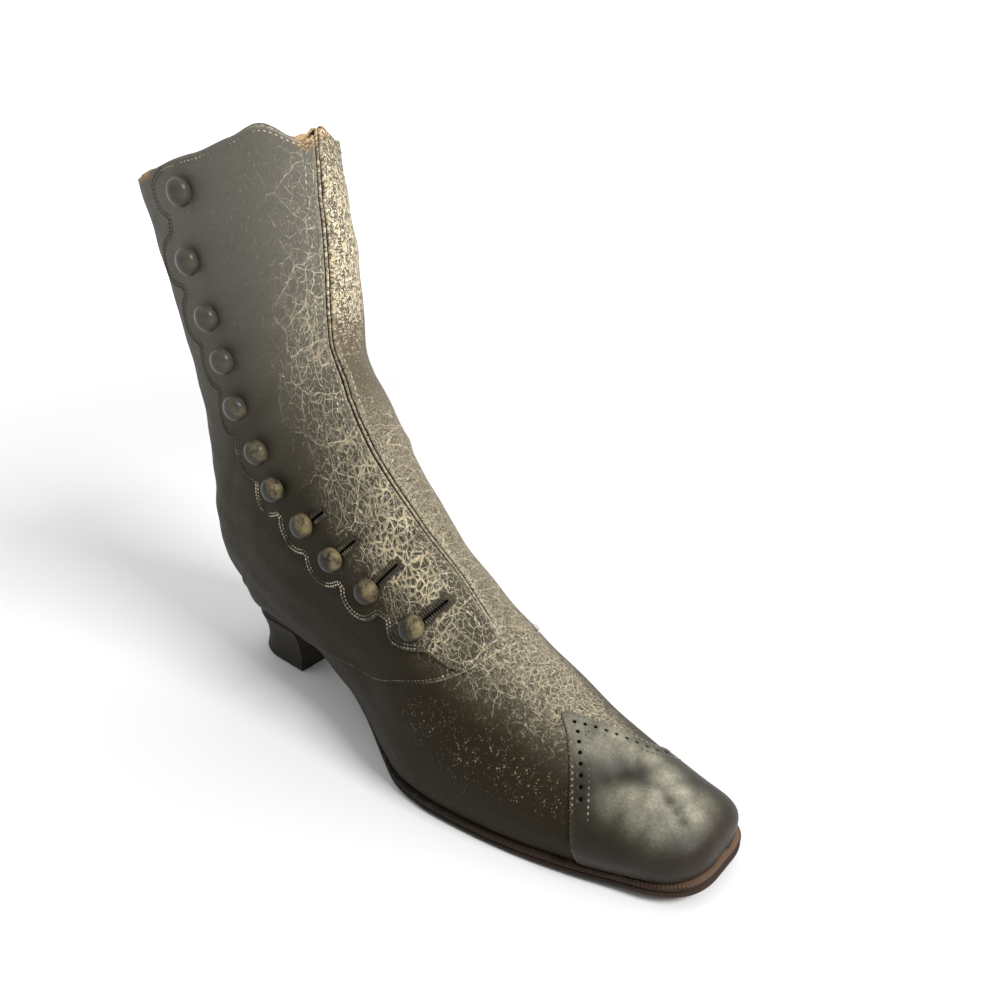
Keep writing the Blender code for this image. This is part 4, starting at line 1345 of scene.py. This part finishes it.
def linen(name, light, dark, fade):
    """Waxed linen thread, pale low on the boot and soiled towards the top and the back."""
    material, start, shader = new_finish(name)
    place = start.node("ShaderNodeTexCoord", out=3)
    soil = place.noise(160.0, 3.0)
    height, length = place.axis(2), place.axis(0)
    higher = height.ease(0.055, 0.095) * (1.0 - length.ease(-0.075, -0.045))
    soiled = (soil.ease(0.38, 0.60) * 0.9 + higher * fade).ease(0.0, 1.0)
    connect(soiled.mix(light, dark), shader, "Base Color")
    twist = start.node("ShaderNodeTexWave", {}, {"Vector": place, "Scale": 1400.0})
    emboss(twist, shader, 0.3, 0.0001)
    shader.inputs["Roughness"].default_value = 0.8
    return material


PALE_LINEN = linen("pale_linen", colour(200, 190, 162), colour(98, 91, 78), 0.2)
CHAIN_LINEN = linen("chain_linen", colour(172, 163, 140), colour(74, 69, 57), 1.1)
GREY_LINEN = linen("grey_linen", colour(118, 111, 93), colour(60, 56, 47), 0.6)
CAP_LINEN = linen("cap_linen", colour(138, 133, 116), colour(76, 72, 62), 0.0)
DARK_LINEN = linen("dark_linen", colour(92, 86, 70), colour(56, 51, 42), 1.0)
# Lengths, widths and heights of stitches
STITCH = (0.0014, 0.00046, 0.00038)
CHAIN_STITCH = (0.00118, 0.00074, 0.00052)
TOP_STITCH = (0.0011, 0.00045, 0.00034)
VAMP_STITCH = (0.0013, 0.0006, 0.00045)
SMALL_STITCH = (0.0011, 0.0004, 0.0003)
CAP_STITCH = (0.00105, 0.00072, 0.00044)
RIB_STITCH = (0.00062, 0.0018, 0.0008)
STITCH_PITCH = 0.0022
CHAIN_PITCH = 0.0014
TOP_PITCH = 0.0018
SMALL_PITCH = 0.0016
CAP_PITCH = 0.0019
RIB_PITCH = 0.00095

# Insets of the fly's rows from its edges, in millimetres
SCALLOP_ROWS = (1.0, 2.1)
SEAM_ROWS = (1.4, 3.7)
TOP_ROW = 1.6
TOP_ROW_CLEAR = 1.4


def fly_rows(line, insets, spacing):
    """Paths on the fly beside one of its edges, at insets in millimetres."""
    rows = []
    for inset in insets:
        flat = even_line(inset_line(line, fly_outline, inset), spacing)
        rows.append(laid_on(*fly_places(flat), fly_top(flat)))
    return rows


scallop_rows = fly_rows(scallop_line, SCALLOP_ROWS, 0.6)
sew("scallop_stitches", scallop_rows, CHAIN_PITCH, CHAIN_STITCH, CHAIN_LINEN)
top_line = np.linspace(seam_line[-1], scallop_line[-1], 80) - (0.0, TOP_ROW)
top_line = top_line[edge_gap(fly_outline, top_line) > TOP_ROW_CLEAR]
seam_rows = fly_rows(seam_line, SEAM_ROWS, 1.0)
sew("fly_stitches", seam_rows, STITCH_PITCH, STITCH, PALE_LINEN)
top_row = laid_on(*fly_places(top_line), fly_top(top_line))
sew("fly_top_stitches", [top_row], TOP_PITCH, TOP_STITCH, PALE_LINEN)

VAMP_ROW = 0.0016
FACING_ROW = 0.0037
COLLAR_ROW = 0.20
COLLAR_SPAN = (0.05, 0.97)
VAMP_SPANS = ((-0.93, -0.33), (-0.33, 0.30), (0.30, 0.93))
vamp_rows = []
for first, last in VAMP_SPANS:
    vamp_girths = np.linspace(first, last, 120)
    vamp_stations = curve_through(VAMP_SEAM, 1, vamp_girths)
    vamp_stations = vamp_stations + VAMP_ROW / station_length(vamp_stations, vamp_girths)
    vamp_rows.append(laid_on(vamp_stations, vamp_girths, QUARTER_EDGE))
facing_girths = seam_g + FACING_ROW / half_girth(seam_s)
facing_row = laid_on(seam_s[2:-4], facing_girths[2:-4], FACING_EDGE)
collar_girths = np.linspace(*COLLAR_SPAN, 200)
collar_row = laid_on(np.full(len(collar_girths), COLLAR - COLLAR_ROW), collar_girths, 0.0001)
sew("facing_stitches", [facing_row], STITCH_PITCH, STITCH, PALE_LINEN)
sew("vamp_stitches", vamp_rows[1:2], TOP_PITCH, VAMP_STITCH, PALE_LINEN)
sides = [vamp_rows[0], vamp_rows[2], collar_row]
sew("upper_stitches", sides, SMALL_PITCH, SMALL_STITCH, GREY_LINEN)

CAP_ROW_REACH = 0.54
# Columns: inset from the cap's edge in millimetres, height over the last
CAP_ROWS = ((0.95, CAP_TOP - 0.0001), (6.3, CAP_TOP))
cap_rows = []
for inset, lift in CAP_ROWS:
    flat = even_line(inset_line(cap_edge_line, cap_outline, inset), 0.8)
    flat = flat[np.abs(cap_places(flat)[1]) < CAP_ROW_REACH]
    cap_rows.append(laid_on(*cap_places(flat), lift))
sew("cap_stitches", cap_rows, CAP_PITCH, CAP_STITCH, CAP_LINEN)

# Ribs of the worked buttonholes, in millimetres: start after the slot's start, end past its end, and
# distance from its edge
RIB_START = 2.0
RIB_PAST = 0.6
RIB_ASIDE = 0.65
hole_edges = []
for mark, end in zip(button_marks, SLOT_ENDS):
    for side in (-1.0, 1.0):
        across = np.linspace(SLOT_START + RIB_START, end + RIB_PAST, 14)
        along = mark * 1000.0 + SLOT_SLOPE * across + side * (SLOT_HALF + RIB_ASIDE)
        flat = np.stack([across, along], axis=1)
        hole_edges.append(laid_on(*fly_places(flat), fly_top(flat) + 0.0001))
sew("buttonhole_stitches", hole_edges, RIB_PITCH, RIB_STITCH, DARK_LINEN)

# The buttons
# Turned shoe buttons of black-glazed composition on short shanks, sewn through the quarter.
# Their glaze has worn to brown in patches on the side towards the lamp, which also carries a painted
# highlight; the side away from it has painted shade and the higher buttons a paler painted sheen.

BUTTON_RADIUS = 0.0049
BUTTON_HEIGHT = 0.0074
SHANK_RADIUS = 0.0015
SHANK_HEIGHT = 0.0005
BUTTON_LIFT = 0.0007
BUTTON_SIDES = 28
BUTTON_RINGS = 15
# The side towards the lamp, where the glaze is worn and a highlight is painted, with painted shade opposite.
LIT_AND_RUBBED_SIDE = (0.75, -0.10, 0.50)


def glazed_button():
    material, start, shader = new_finish("button_glaze")
    place = start.node("ShaderNodeTexCoord", out=3)
    broad = place.noise(260.0, 3.0)
    fine = place.noise(1300.0, 3.0)
    pale_side = start.mask("pale_side")
    height = place.axis(2)
    # Painted sheen: the higher buttons are paler.
    high = height.ease(0.09, 0.16)
    # Worn glaze and painted highlight on the side towards the lamp.
    worn = (broad * 0.7 + fine * 0.3 + 0.10 * pale_side).ease(0.44, 0.76) * pale_side * (1.0 - 0.9 * high)
    dark = fine.ease(0.35, 0.70).mix(colour(42, 40, 33), colour(58, 56, 47))
    # Painted shade on the side away from the lamp.
    dark = ((1.0 - pale_side) * (1.0 - high) * 0.7).mix(dark, colour(30, 28, 22))
    # Painted sheen on the higher buttons.
    dark = (high * 0.8).mix(dark, colour(68, 66, 59))
    # The painted highlight is grey low on the boot and gold-brown higher, where the glaze is worn.
    shown = height.ease(0.060, 0.072).mix(colour(128, 123, 106), colour(166, 146, 100))
    dark = (worn * 0.45).mix(dark, shown)
    connect(dark, shader, "Base Color")
    connect(0.30 + 0.25 * worn, shader, "Roughness")
    shader.inputs["Specular IOR Level"].default_value = 0.22
    emboss(broad + 0.4 * fine, shader, 0.25, 0.0003)
    return material


GLAZE = glazed_button()


def button_profile():
    crown = (BUTTON_HEIGHT - SHANK_HEIGHT) / 2
    turns_down = np.linspace(90.0, -58.0, BUTTON_RINGS)
    points = []
    for turn in np.radians(turns_down):
        radius = BUTTON_RADIUS * max(math.cos(turn), 0.0)
        points.append((radius, SHANK_HEIGHT + crown * (1.0 + math.sin(turn))))
    points[0] = (0.0, BUTTON_HEIGHT)
    return points + [(SHANK_RADIUS, SHANK_HEIGHT), (SHANK_RADIUS, -0.0004), (0.0, -0.0004)]


def turned_mesh(name, profile, sides, place, axis):
    """A turned shape about an axis, with its crown and foot closed at single points."""
    turn = Vector(axis).to_track_quat("Z", "Y").to_matrix()
    points = [turn @ Vector((0.0, 0.0, profile[0][1]))]
    for radius, height in profile[1:-1]:
        for step in range(sides):
            angle = 2 * math.pi * step / sides
            points.append(turn @ Vector((radius * math.cos(angle), radius * math.sin(angle), height)))
    points.append(turn @ Vector((0.0, 0.0, profile[-1][1])))
    points = [Vector(place) + point for point in points]
    rings = len(profile) - 2
    faces = [(0, 1 + step, 1 + (step + 1) % sides) for step in range(sides)]
    for ring in range(rings - 1):
        near, far = 1 + ring * sides, 1 + (ring + 1) * sides
        for step in range(sides):
            after = (step + 1) % sides
            faces.append((near + step, far + step, far + after, near + after))
    last, foot = 1 + (rings - 1) * sides, len(points) - 1
    faces += [(last + step, foot, last + (step + 1) % sides) for step in range(sides)]
    mesh = bpy.data.meshes.new(name)
    mesh.from_pydata([tuple(point) for point in points], [], faces)
    return mesh


button_s = np.array([row[0] for row in BUTTONS])
button_g = np.array([row[1] for row in BUTTONS])
button_feet, button_axes = on_last(button_s, button_g), outward(button_s, button_g)
button_feet = button_feet + button_axes * BUTTON_LIFT
for number, (foot, axis) in enumerate(zip(button_feet, button_axes), start=1):
    button_mesh = turned_mesh(f"shoe_button_{number:02d}", button_profile(), BUTTON_SIDES, foot, axis)
    from_foot = np.array([vertex.co for vertex in button_mesh.vertices]) - foot - axis * BUTTON_HEIGHT / 2
    # Share of each point on the side towards the lamp, for the painted highlight and painted shade.
    add_masks(button_mesh, {"pale_side": ease(from_foot @ np.array(LIT_AND_RUBBED_SIDE), 0.0002, BUTTON_RADIUS * 0.7)})
    button = new_piece(f"shoe_button_{number:02d}", button_mesh, GLAZE)
    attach(button, "root")
    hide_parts(f"button_{number:02d}")

# The outsole
# One plate of oak-bark leather, stitched to the welt, with toe spring and a raised waist.
# Its edge is trimmed, stained dark and worn.

WELT_MARGIN = 0.0025
SEAT_MARGIN = 0.0010
MARGIN_START = 0.22
MARGIN_SPAN = 0.22
SOLE_BACK = 0.004
SOLE_FRONT = 0.9999
SOLE_STACK = 0.0051
FIT = 0.0003
WELT_THICKNESS = 0.0018
WELT_END = 0.405
WELT_RAMP = 0.006
SEAT_POINTS = 22
TOE_POINTS = 26
MIDDLE_POINTS = 90
ACROSS = 7


def sole_stations(first, last):
    """Shares of the last's length, close together round the seat and the toe."""
    back = SEAT_ROUND * (1.0 - np.cos(np.linspace(0.0, math.pi / 2, SEAT_POINTS)[:-1]))
    front = 1.0 - TOE_ROUND * (1.0 - np.sin(np.linspace(0.0, math.pi / 2, TOE_POINTS)[1:]))
    shares = np.concatenate([back, np.linspace(SEAT_ROUND, 1.0 - TOE_ROUND, MIDDLE_POINTS), front])
    return np.concatenate([[first], shares[(shares > first) & (shares < last)], [last]])


def sole_edge(along):
    """Place along, middle line and half width of the sole's edge beside places on the feather line."""
    middle, half, _ = feather(along)
    fore = np.clip((along - MARGIN_START) / MARGIN_SPAN, 0.0, 1.0)
    margin = SEAT_MARGIN + (WELT_MARGIN - SEAT_MARGIN) * fore
    back = np.maximum(0.0, 1.0 - along / SEAT_ROUND)
    front = np.maximum(0.0, 1.0 - (1.0 - along) / TOE_ROUND)
    x = along * LAST_LENGTH + WELT_MARGIN * front**2 - SEAT_MARGIN * back**2
    return x, middle, half + margin * np.minimum(1.0, half / WELT_MARGIN)


def tread(along):
    return np.maximum(0.0, feather(along)[2] - SOLE_STACK)


def welt_share(along):
    return np.clip((along - WELT_END) * LAST_LENGTH / WELT_RAMP, 0.0, 1.0)


def aside_of(loop):
    """Directions out of a closed plan line that runs against the clock."""
    slopes = np.roll(loop, -1, axis=0) - np.roll(loop, 1, axis=0)
    slopes = unit(slopes)
    return np.stack([slopes[:, 1], -slopes[:, 0]], axis=1)


def both_sides(x, middle, half):
    """A plan line forward along the outer side and back along the inner side."""
    return np.vstack([np.column_stack([x, middle - half]), np.column_stack([x, middle + half])[::-1]])


def mend(mesh, join):
    """Joins doubled points and closes ends where asked, and turns the faces outwards."""
    work = bmesh.new()
    work.from_mesh(mesh)
    if join:
        bmesh.ops.remove_doubles(work, verts=work.verts[:], dist=1e-6)
        bmesh.ops.holes_fill(work, edges=[edge for edge in work.edges if edge.is_boundary])
    bmesh.ops.recalc_face_normals(work, faces=work.faces[:])
    work.to_mesh(mesh)
    work.free()


def plate_mesh(name, loop, rings, across):
    """A plate with shaped edges. Loop: plan points, outer side forward then inner side back. Rings: from
    the top's edge down to the under side's edge, each an inset and a function of the place for the height."""
    out = aside_of(loop)
    count = len(loop)
    half = count // 2
    points, faces = [], []
    for inset, height in rings:
        plan = loop - out * inset
        z = height(plan[:, 0] / LAST_LENGTH)
        points += np.column_stack([plan, z]).tolist()
    for ring in range(len(rings) - 1):
        for i in range(count):
            j = (i + 1) % count
            near, far = ring * count, (ring + 1) * count
            faces.append((near + i, far + i, far + j, near + j))
    for ring, height, flip in ((0, rings[0][1], False), (len(rings) - 1, rings[-1][1], True)):
        base = ring * count
        previous = None
        for i in range(half):
            left, right = base + i, base + count - 1 - i
            row = [left]
            for k in range(1, across):
                share = k / across
                place = [points[left][axis] * (1 - share) + points[right][axis] * share for axis in range(3)]
                place[2] = float(height(np.array(place[0] / LAST_LENGTH)))
                row.append(len(points))
                points.append(place)
            row.append(right)
            if previous:
                for k in range(across):
                    quad = (previous[k], row[k], row[k + 1], previous[k + 1])
                    faces.append(quad[::-1] if flip else quad)
            previous = row
    mesh = bpy.data.meshes.new(name)
    mesh.from_pydata((np.array(points) + STAND).tolist(), [], faces)
    mend(mesh, join=True)
    return mesh


def bark_leather(name, dark, light, toe, scale, pale_side=None, waist=None):
    """Firm sole leather, stained and worn on its edge, with fine layers in its cut side."""
    material, start, shader = new_finish(name)
    place = start.node("ShaderNodeTexCoord", out=3)
    broad = place.noise(35.0 * scale, 5.0)
    layers = place.stretch(1.0, 1.0, 9.0).noise(120.0 * scale, 4.0)
    fine = place.noise(900.0, 3.0)
    stain = broad.ease(0.30, 0.70).mix(dark, light)
    length = place.axis(0)
    if waist:
        stain = length.ease(0.015, 0.085).mix(waist, stain)
    worn = length.ease(0.100, 0.130)
    if pale_side:
        worn = start.mask(pale_side)
    stain = (worn * (0.5 + 0.5 * broad)).mix(stain, toe)
    stain = (layers.ease(0.52, 0.70) * 0.12).mix(stain, toe)
    stain = (fine.ease(0.62, 0.75) * 0.12).mix(stain, toe)
    connect(stain, shader, "Base Color")
    shader.inputs["Specular IOR Level"].default_value = 0.15
    connect(0.50 + 0.25 * broad, shader, "Roughness")
    emboss(layers + 0.5 * fine, shader, 0.5, 0.0004)
    return material


def sole_top(along):
    return feather(along)[2] - FIT - welt_share(along) * (WELT_THICKNESS + FIT)


def above(height, lift):
    return lambda along: height(along) + lift


EDGE_INK = colour(32, 29, 23)
SOLE_LEATHER = bark_leather(
    "sole_leather", colour(36, 27, 21), colour(48, 36, 28), colour(58, 43, 34), 1.0, None, EDGE_INK,
)
sole_shares = sole_stations(SOLE_BACK, SOLE_FRONT)
sole_x, sole_middle, sole_half = sole_edge(sole_shares)
sole_loop = both_sides(sole_x, sole_middle, sole_half)
outsole_rings = [
    (0.0014, sole_top),
    (0.0004, above(sole_top, -0.0001)),
    (0.0000, above(sole_top, -0.0005)),
    (0.0000, lambda along: (sole_top(along) + tread(along)) / 2),
    (0.0001, above(tread, 0.0008)),
    (0.0005, above(tread, 0.0002)),
    (0.0014, tread),
]
outsole_mesh = plate_mesh("outsole_plate", sole_loop, outsole_rings, ACROSS)
outsole = new_piece("outsole_plate", outsole_mesh, SOLE_LEATHER)
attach(outsole, "root")
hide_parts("outsole")

# The welt
# A narrow leather strip between upper and outsole round the forepart, sewn to both.
# Its upper face is wheeled with fine notches.

WELT_INSIDE = 0.0062
WELT_STEP = 0.0003
NOTCH_PITCH = 0.0013
NOTCH_DEPTH = 0.00045
WELT_TOP_RINGS = 4

WELT_LEATHER = bark_leather(
    "welt_leather", colour(40, 29, 22), colour(52, 38, 29), colour(128, 103, 83), 1.6, "pale_side", EDGE_INK,
)


def welt_mesh():
    first = WELT_END + (WELT_RAMP + FIT) / LAST_LENGTH
    shares = sole_stations(first, SOLE_FRONT)
    x, middle, half = sole_edge(shares)
    plan = even_line(both_sides(x, middle, half), WELT_STEP)
    slopes = np.gradient(plan, axis=0)
    slopes = unit(slopes)
    out = np.stack([slopes[:, 1], -slopes[:, 0]], axis=1)
    notch = NOTCH_DEPTH * (0.5 + 0.5 * np.cos(np.arange(len(plan)) * WELT_STEP / NOTCH_PITCH * 2 * math.pi))
    profile = [
        (WELT_INSIDE, 0.0, 0.0), (0.0022, 0.0, 0.0), (0.0014, 0.0, 0.4), (0.0006, 0.00002, 1.0),
        (0.0001, 0.00030, 0.6), (-0.0001, 0.0009, 0.0), (0.0001, 0.0015, 0.0), (0.0006, 0.0018, 0.0),
        (WELT_INSIDE, 0.0018, 0.0),
    ]
    rings = []
    for inset, drop, share in profile:
        moved = plan - out * inset
        height = feather(moved[:, 0] / LAST_LENGTH)[2] - FIT - drop - notch * share
        rings.append(np.column_stack([moved, height]) + STAND)
    points = np.concatenate(rings)
    count, sides = len(plan), len(profile)
    faces = []
    for ring in range(sides):
        near, far = ring * count, (ring + 1) % sides * count
        for i in range(count - 1):
            faces.append((near + i, far + i, far + i + 1, near + i + 1))
    faces.append(tuple(ring * count for ring in range(sides)))
    faces.append(tuple(ring * count + count - 1 for ring in reversed(range(sides))))
    mesh = bpy.data.meshes.new("welt_strip")
    mesh.from_pydata(points.tolist(), [], faces)
    mend(mesh, join=False)
    upper_face = np.repeat(np.arange(sides) < WELT_TOP_RINGS, count)
    x, y, _ = points.T
    add_masks(mesh, {"pale_side": upper_face * ease(x, 0.114, 0.128) * ease(y, -0.018, 0.002)})
    return mesh


welt = new_piece("welt_strip", welt_mesh(), WELT_LEATHER)
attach(welt, "root")
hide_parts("welt")

# The insole
# A thin board of undyed leather inside the upper's lower edge, polished by the foot.
# It is cut flat, bent to the last, and the upper's turned edge is sewn to its underside.

INSOLE_MARGIN = 0.0030
INSOLE_BACK = 0.022
INSOLE_FRONT = 0.978
INSOLE_LEAST_HALF = 0.002
INSOLE_THICKNESS = 0.0020

INSOLE_LEATHER = bark_leather(
    "insole_leather", colour(120, 92, 64), colour(164, 132, 96), colour(150, 120, 88), 0.8,
)
insole_shares = sole_stations(INSOLE_BACK, INSOLE_FRONT)
insole_middle, insole_half, _ = feather(insole_shares)
insole_half = np.maximum(insole_half - INSOLE_MARGIN, INSOLE_LEAST_HALF)
insole_x = insole_shares * LAST_LENGTH
insole_loop = both_sides(insole_x, insole_middle, insole_half)


def insole_under(along):
    return feather(along)[2] + FIT


insole_rings = [
    (0.0010, above(insole_under, INSOLE_THICKNESS)),
    (0.0002, above(insole_under, INSOLE_THICKNESS - 0.0002)),
    (0.0000, above(insole_under, INSOLE_THICKNESS - 0.0007)),
    (0.0000, insole_under),
]
insole_mesh = plate_mesh("insole_board", insole_loop, insole_rings, ACROSS)
insole = new_piece("insole_board", insole_mesh, INSOLE_LEATHER)
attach(insole, "root")
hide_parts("insole")

# The heel
# A low heel stacked from leather lifts, pegged together, trimmed to a hollow side and blacked.
# It is nailed to the seat of the outsole, with a straight breast under the waist.

HEEL_BREAST = 0.0375
HEEL_BASE_BACK = -0.0055
HEEL_BASE_LENGTH = 0.0390
HEEL_BASE_WIDTH = 0.86
HEEL_HOLLOW = 0.0016
HEEL_BACK_FLAT = 0.006
HEEL_SIDE_POINTS = 40
# Columns: level from the floor, inset of the edge there
HEEL_LEVELS = [(0.0, 0.0008), (0.008, 0.0003), (0.03, 0.0)]
HEEL_LEVELS += [(level, 0.0) for level in np.linspace(0.10, 0.97, 12)]
HEEL_LEVELS += [(1.0, 0.0002)]

HEEL_LEATHER = bark_leather("heel_leather", colour(38, 35, 30), colour(48, 44, 37), colour(66, 60, 50), 1.2)


def heel_mesh():
    breast = HEEL_BREAST / LAST_LENGTH
    angles = np.linspace(0.0, math.pi / 2, HEEL_SIDE_POINTS)
    shares = np.minimum(breast * (1.0 - np.cos(angles)) + HEEL_BACK_FLAT * np.sin(angles), breast)
    x_top, _, half_top = sole_edge(shares)
    x_low = HEEL_BASE_BACK + shares / breast * HEEL_BASE_LENGTH
    top = tread(x_top / LAST_LENGTH) - FIT
    points = []
    for level, inset in HEEL_LEVELS:
        pinch = HEEL_HOLLOW * math.sin(math.pi * level)
        x = x_low + (x_top - x_low) * level + pinch * (1.0 - shares / breast)
        half = half_top * (HEEL_BASE_WIDTH + (1.0 - HEEL_BASE_WIDTH) * level) - pinch
        plan = both_sides(x, 0.0, half)
        plan = plan - aside_of(plan) * inset
        points.append(np.column_stack([plan, np.concatenate([top, top[::-1]]) * level]) + STAND)
    count = 2 * HEEL_SIDE_POINTS
    faces = []
    for ring in range(len(HEEL_LEVELS) - 1):
        for i in range(count):
            j = (i + 1) % count
            near, far = ring * count, (ring + 1) * count
            faces.append((near + i, near + j, far + j, far + i))
    last = (len(HEEL_LEVELS) - 1) * count
    for i in range(HEEL_SIDE_POINTS - 1):
        faces.append((i, i + 1, count - 2 - i, count - 1 - i))
        faces.append((last + i, last + i + 1, last + count - 2 - i, last + count - 1 - i))
    mesh = bpy.data.meshes.new("heel_stack")
    mesh.from_pydata(np.concatenate(points).tolist(), [], faces)
    mend(mesh, join=True)
    return mesh


heel = new_piece("heel_stack", heel_mesh(), HEEL_LEATHER)
heel.data.set_sharp_from_angle(angle=math.radians(50.0))
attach(heel, "root")
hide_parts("heel")

# The floor
# A plain pale studio floor, wide enough to reach the horizon.

FLOOR_HALF = 30.0
FLOOR_DROP = 0.0002


def studio_floor():
    """Matt white paper that is lit from below far from the boot, so that it runs into the white room."""
    material, start, shader = new_finish("studio_floor")
    place = start.node("ShaderNodeTexCoord", out=3)
    far = start.node("ShaderNodeVectorMath", {"operation": "LENGTH"}, {0: place}, 1).ease(0.35, 1.4)
    connect(far.mix((0.0, 0.0, 0.0, 1.0), (0.6, 0.6, 0.6, 1.0)), shader, "Emission Color")
    shader.inputs["Emission Strength"].default_value = 1.0
    shader.inputs["Base Color"].default_value = colour(236, 236, 236)
    shader.inputs["Roughness"].default_value = 0.9
    shader.inputs["Specular IOR Level"].default_value = 0.0
    return material


floor_mesh = bpy.data.meshes.new("floor")
floor_signs = [(-1.0, -1.0), (1.0, -1.0), (1.0, 1.0), (-1.0, 1.0)]
floor_corners = [(x * FLOOR_HALF, y * FLOOR_HALF, -FLOOR_DROP) for x, y in floor_signs]
floor_mesh.from_pydata(floor_corners, [], [(0, 1, 2, 3)])
floor = new_piece("floor", floor_mesh, studio_floor())

# The light
# One soft lamp in front of the toe, right of the camera, and a pale room that is brightest behind the boot.

KEY_PLACE = (1.05, 0.10, 1.06)
KEY_SIZE = 0.45
KEY_POWER = 20.0
ROOM_DARK = 0.20
ROOM_BRIGHT = 1.06


def aim(thing, place, target):
    thing.location = place
    thing.rotation_euler = (Vector(target) - Vector(place)).to_track_quat("-Z", "Y").to_euler()


key_data = bpy.data.lights.new("key", "AREA")
key_data.energy = KEY_POWER
key_data.size = KEY_SIZE
key = bpy.data.objects.new("key", key_data)
bpy.context.scene.collection.objects.link(key)
aim(key, KEY_PLACE, (0.0, 0.0, 0.08))

room = bpy.data.worlds.new("room")
bpy.context.scene.world = room
room.use_nodes = True
room_start = Wire(room.node_tree)
toward = room_start.node("ShaderNodeTexCoord", out=0)
behind = room_start.node("ShaderNodeVectorMath", {"operation": "DOT_PRODUCT"},
                         {0: toward, 1: (-0.62, 0.62, 0.48)}, 1)
glow = behind.ease(-0.6, 0.7) * (ROOM_BRIGHT - ROOM_DARK) + ROOM_DARK
sky = room.node_tree.nodes["Background"]
sky.inputs["Color"].default_value = (1.0, 1.0, 1.0, 1.0)
room.node_tree.links.new(glow.socket, sky.inputs["Strength"])

# The camera
# It looks down on the outer side of the toe, tilted a little, as a hand held it.

CAMERA_PLACE = (0.2189, -0.17033 + STAND[1], 0.22916)
CAMERA_AROUND = math.radians(45.038)
CAMERA_DOWN = math.radians(25.399)
CAMERA_ROLL = math.radians(-3.678)
CAMERA_LENS = 30.164

back = Vector((math.sin(CAMERA_AROUND) * math.cos(CAMERA_DOWN),
               -math.cos(CAMERA_AROUND) * math.cos(CAMERA_DOWN), math.sin(CAMERA_DOWN)))
right = Vector((math.cos(CAMERA_AROUND), math.sin(CAMERA_AROUND), 0.0))
up = back.cross(right)
turned_right = right * math.cos(CAMERA_ROLL) + up * math.sin(CAMERA_ROLL)
turned_up = up * math.cos(CAMERA_ROLL) - right * math.sin(CAMERA_ROLL)
camera_data = bpy.data.cameras.new("camera")
camera_data.lens = CAMERA_LENS
camera_data.sensor_width = 36.0
camera_data.clip_start = 0.01
camera = bpy.data.objects.new("camera", camera_data)
bpy.context.scene.collection.objects.link(camera)
camera.matrix_world = Matrix.Translation(CAMERA_PLACE) @ Matrix(
    (turned_right, turned_up, back)).transposed().to_4x4()
bpy.context.scene.camera = camera
bpy.context.scene.view_settings.view_transform = "Standard"
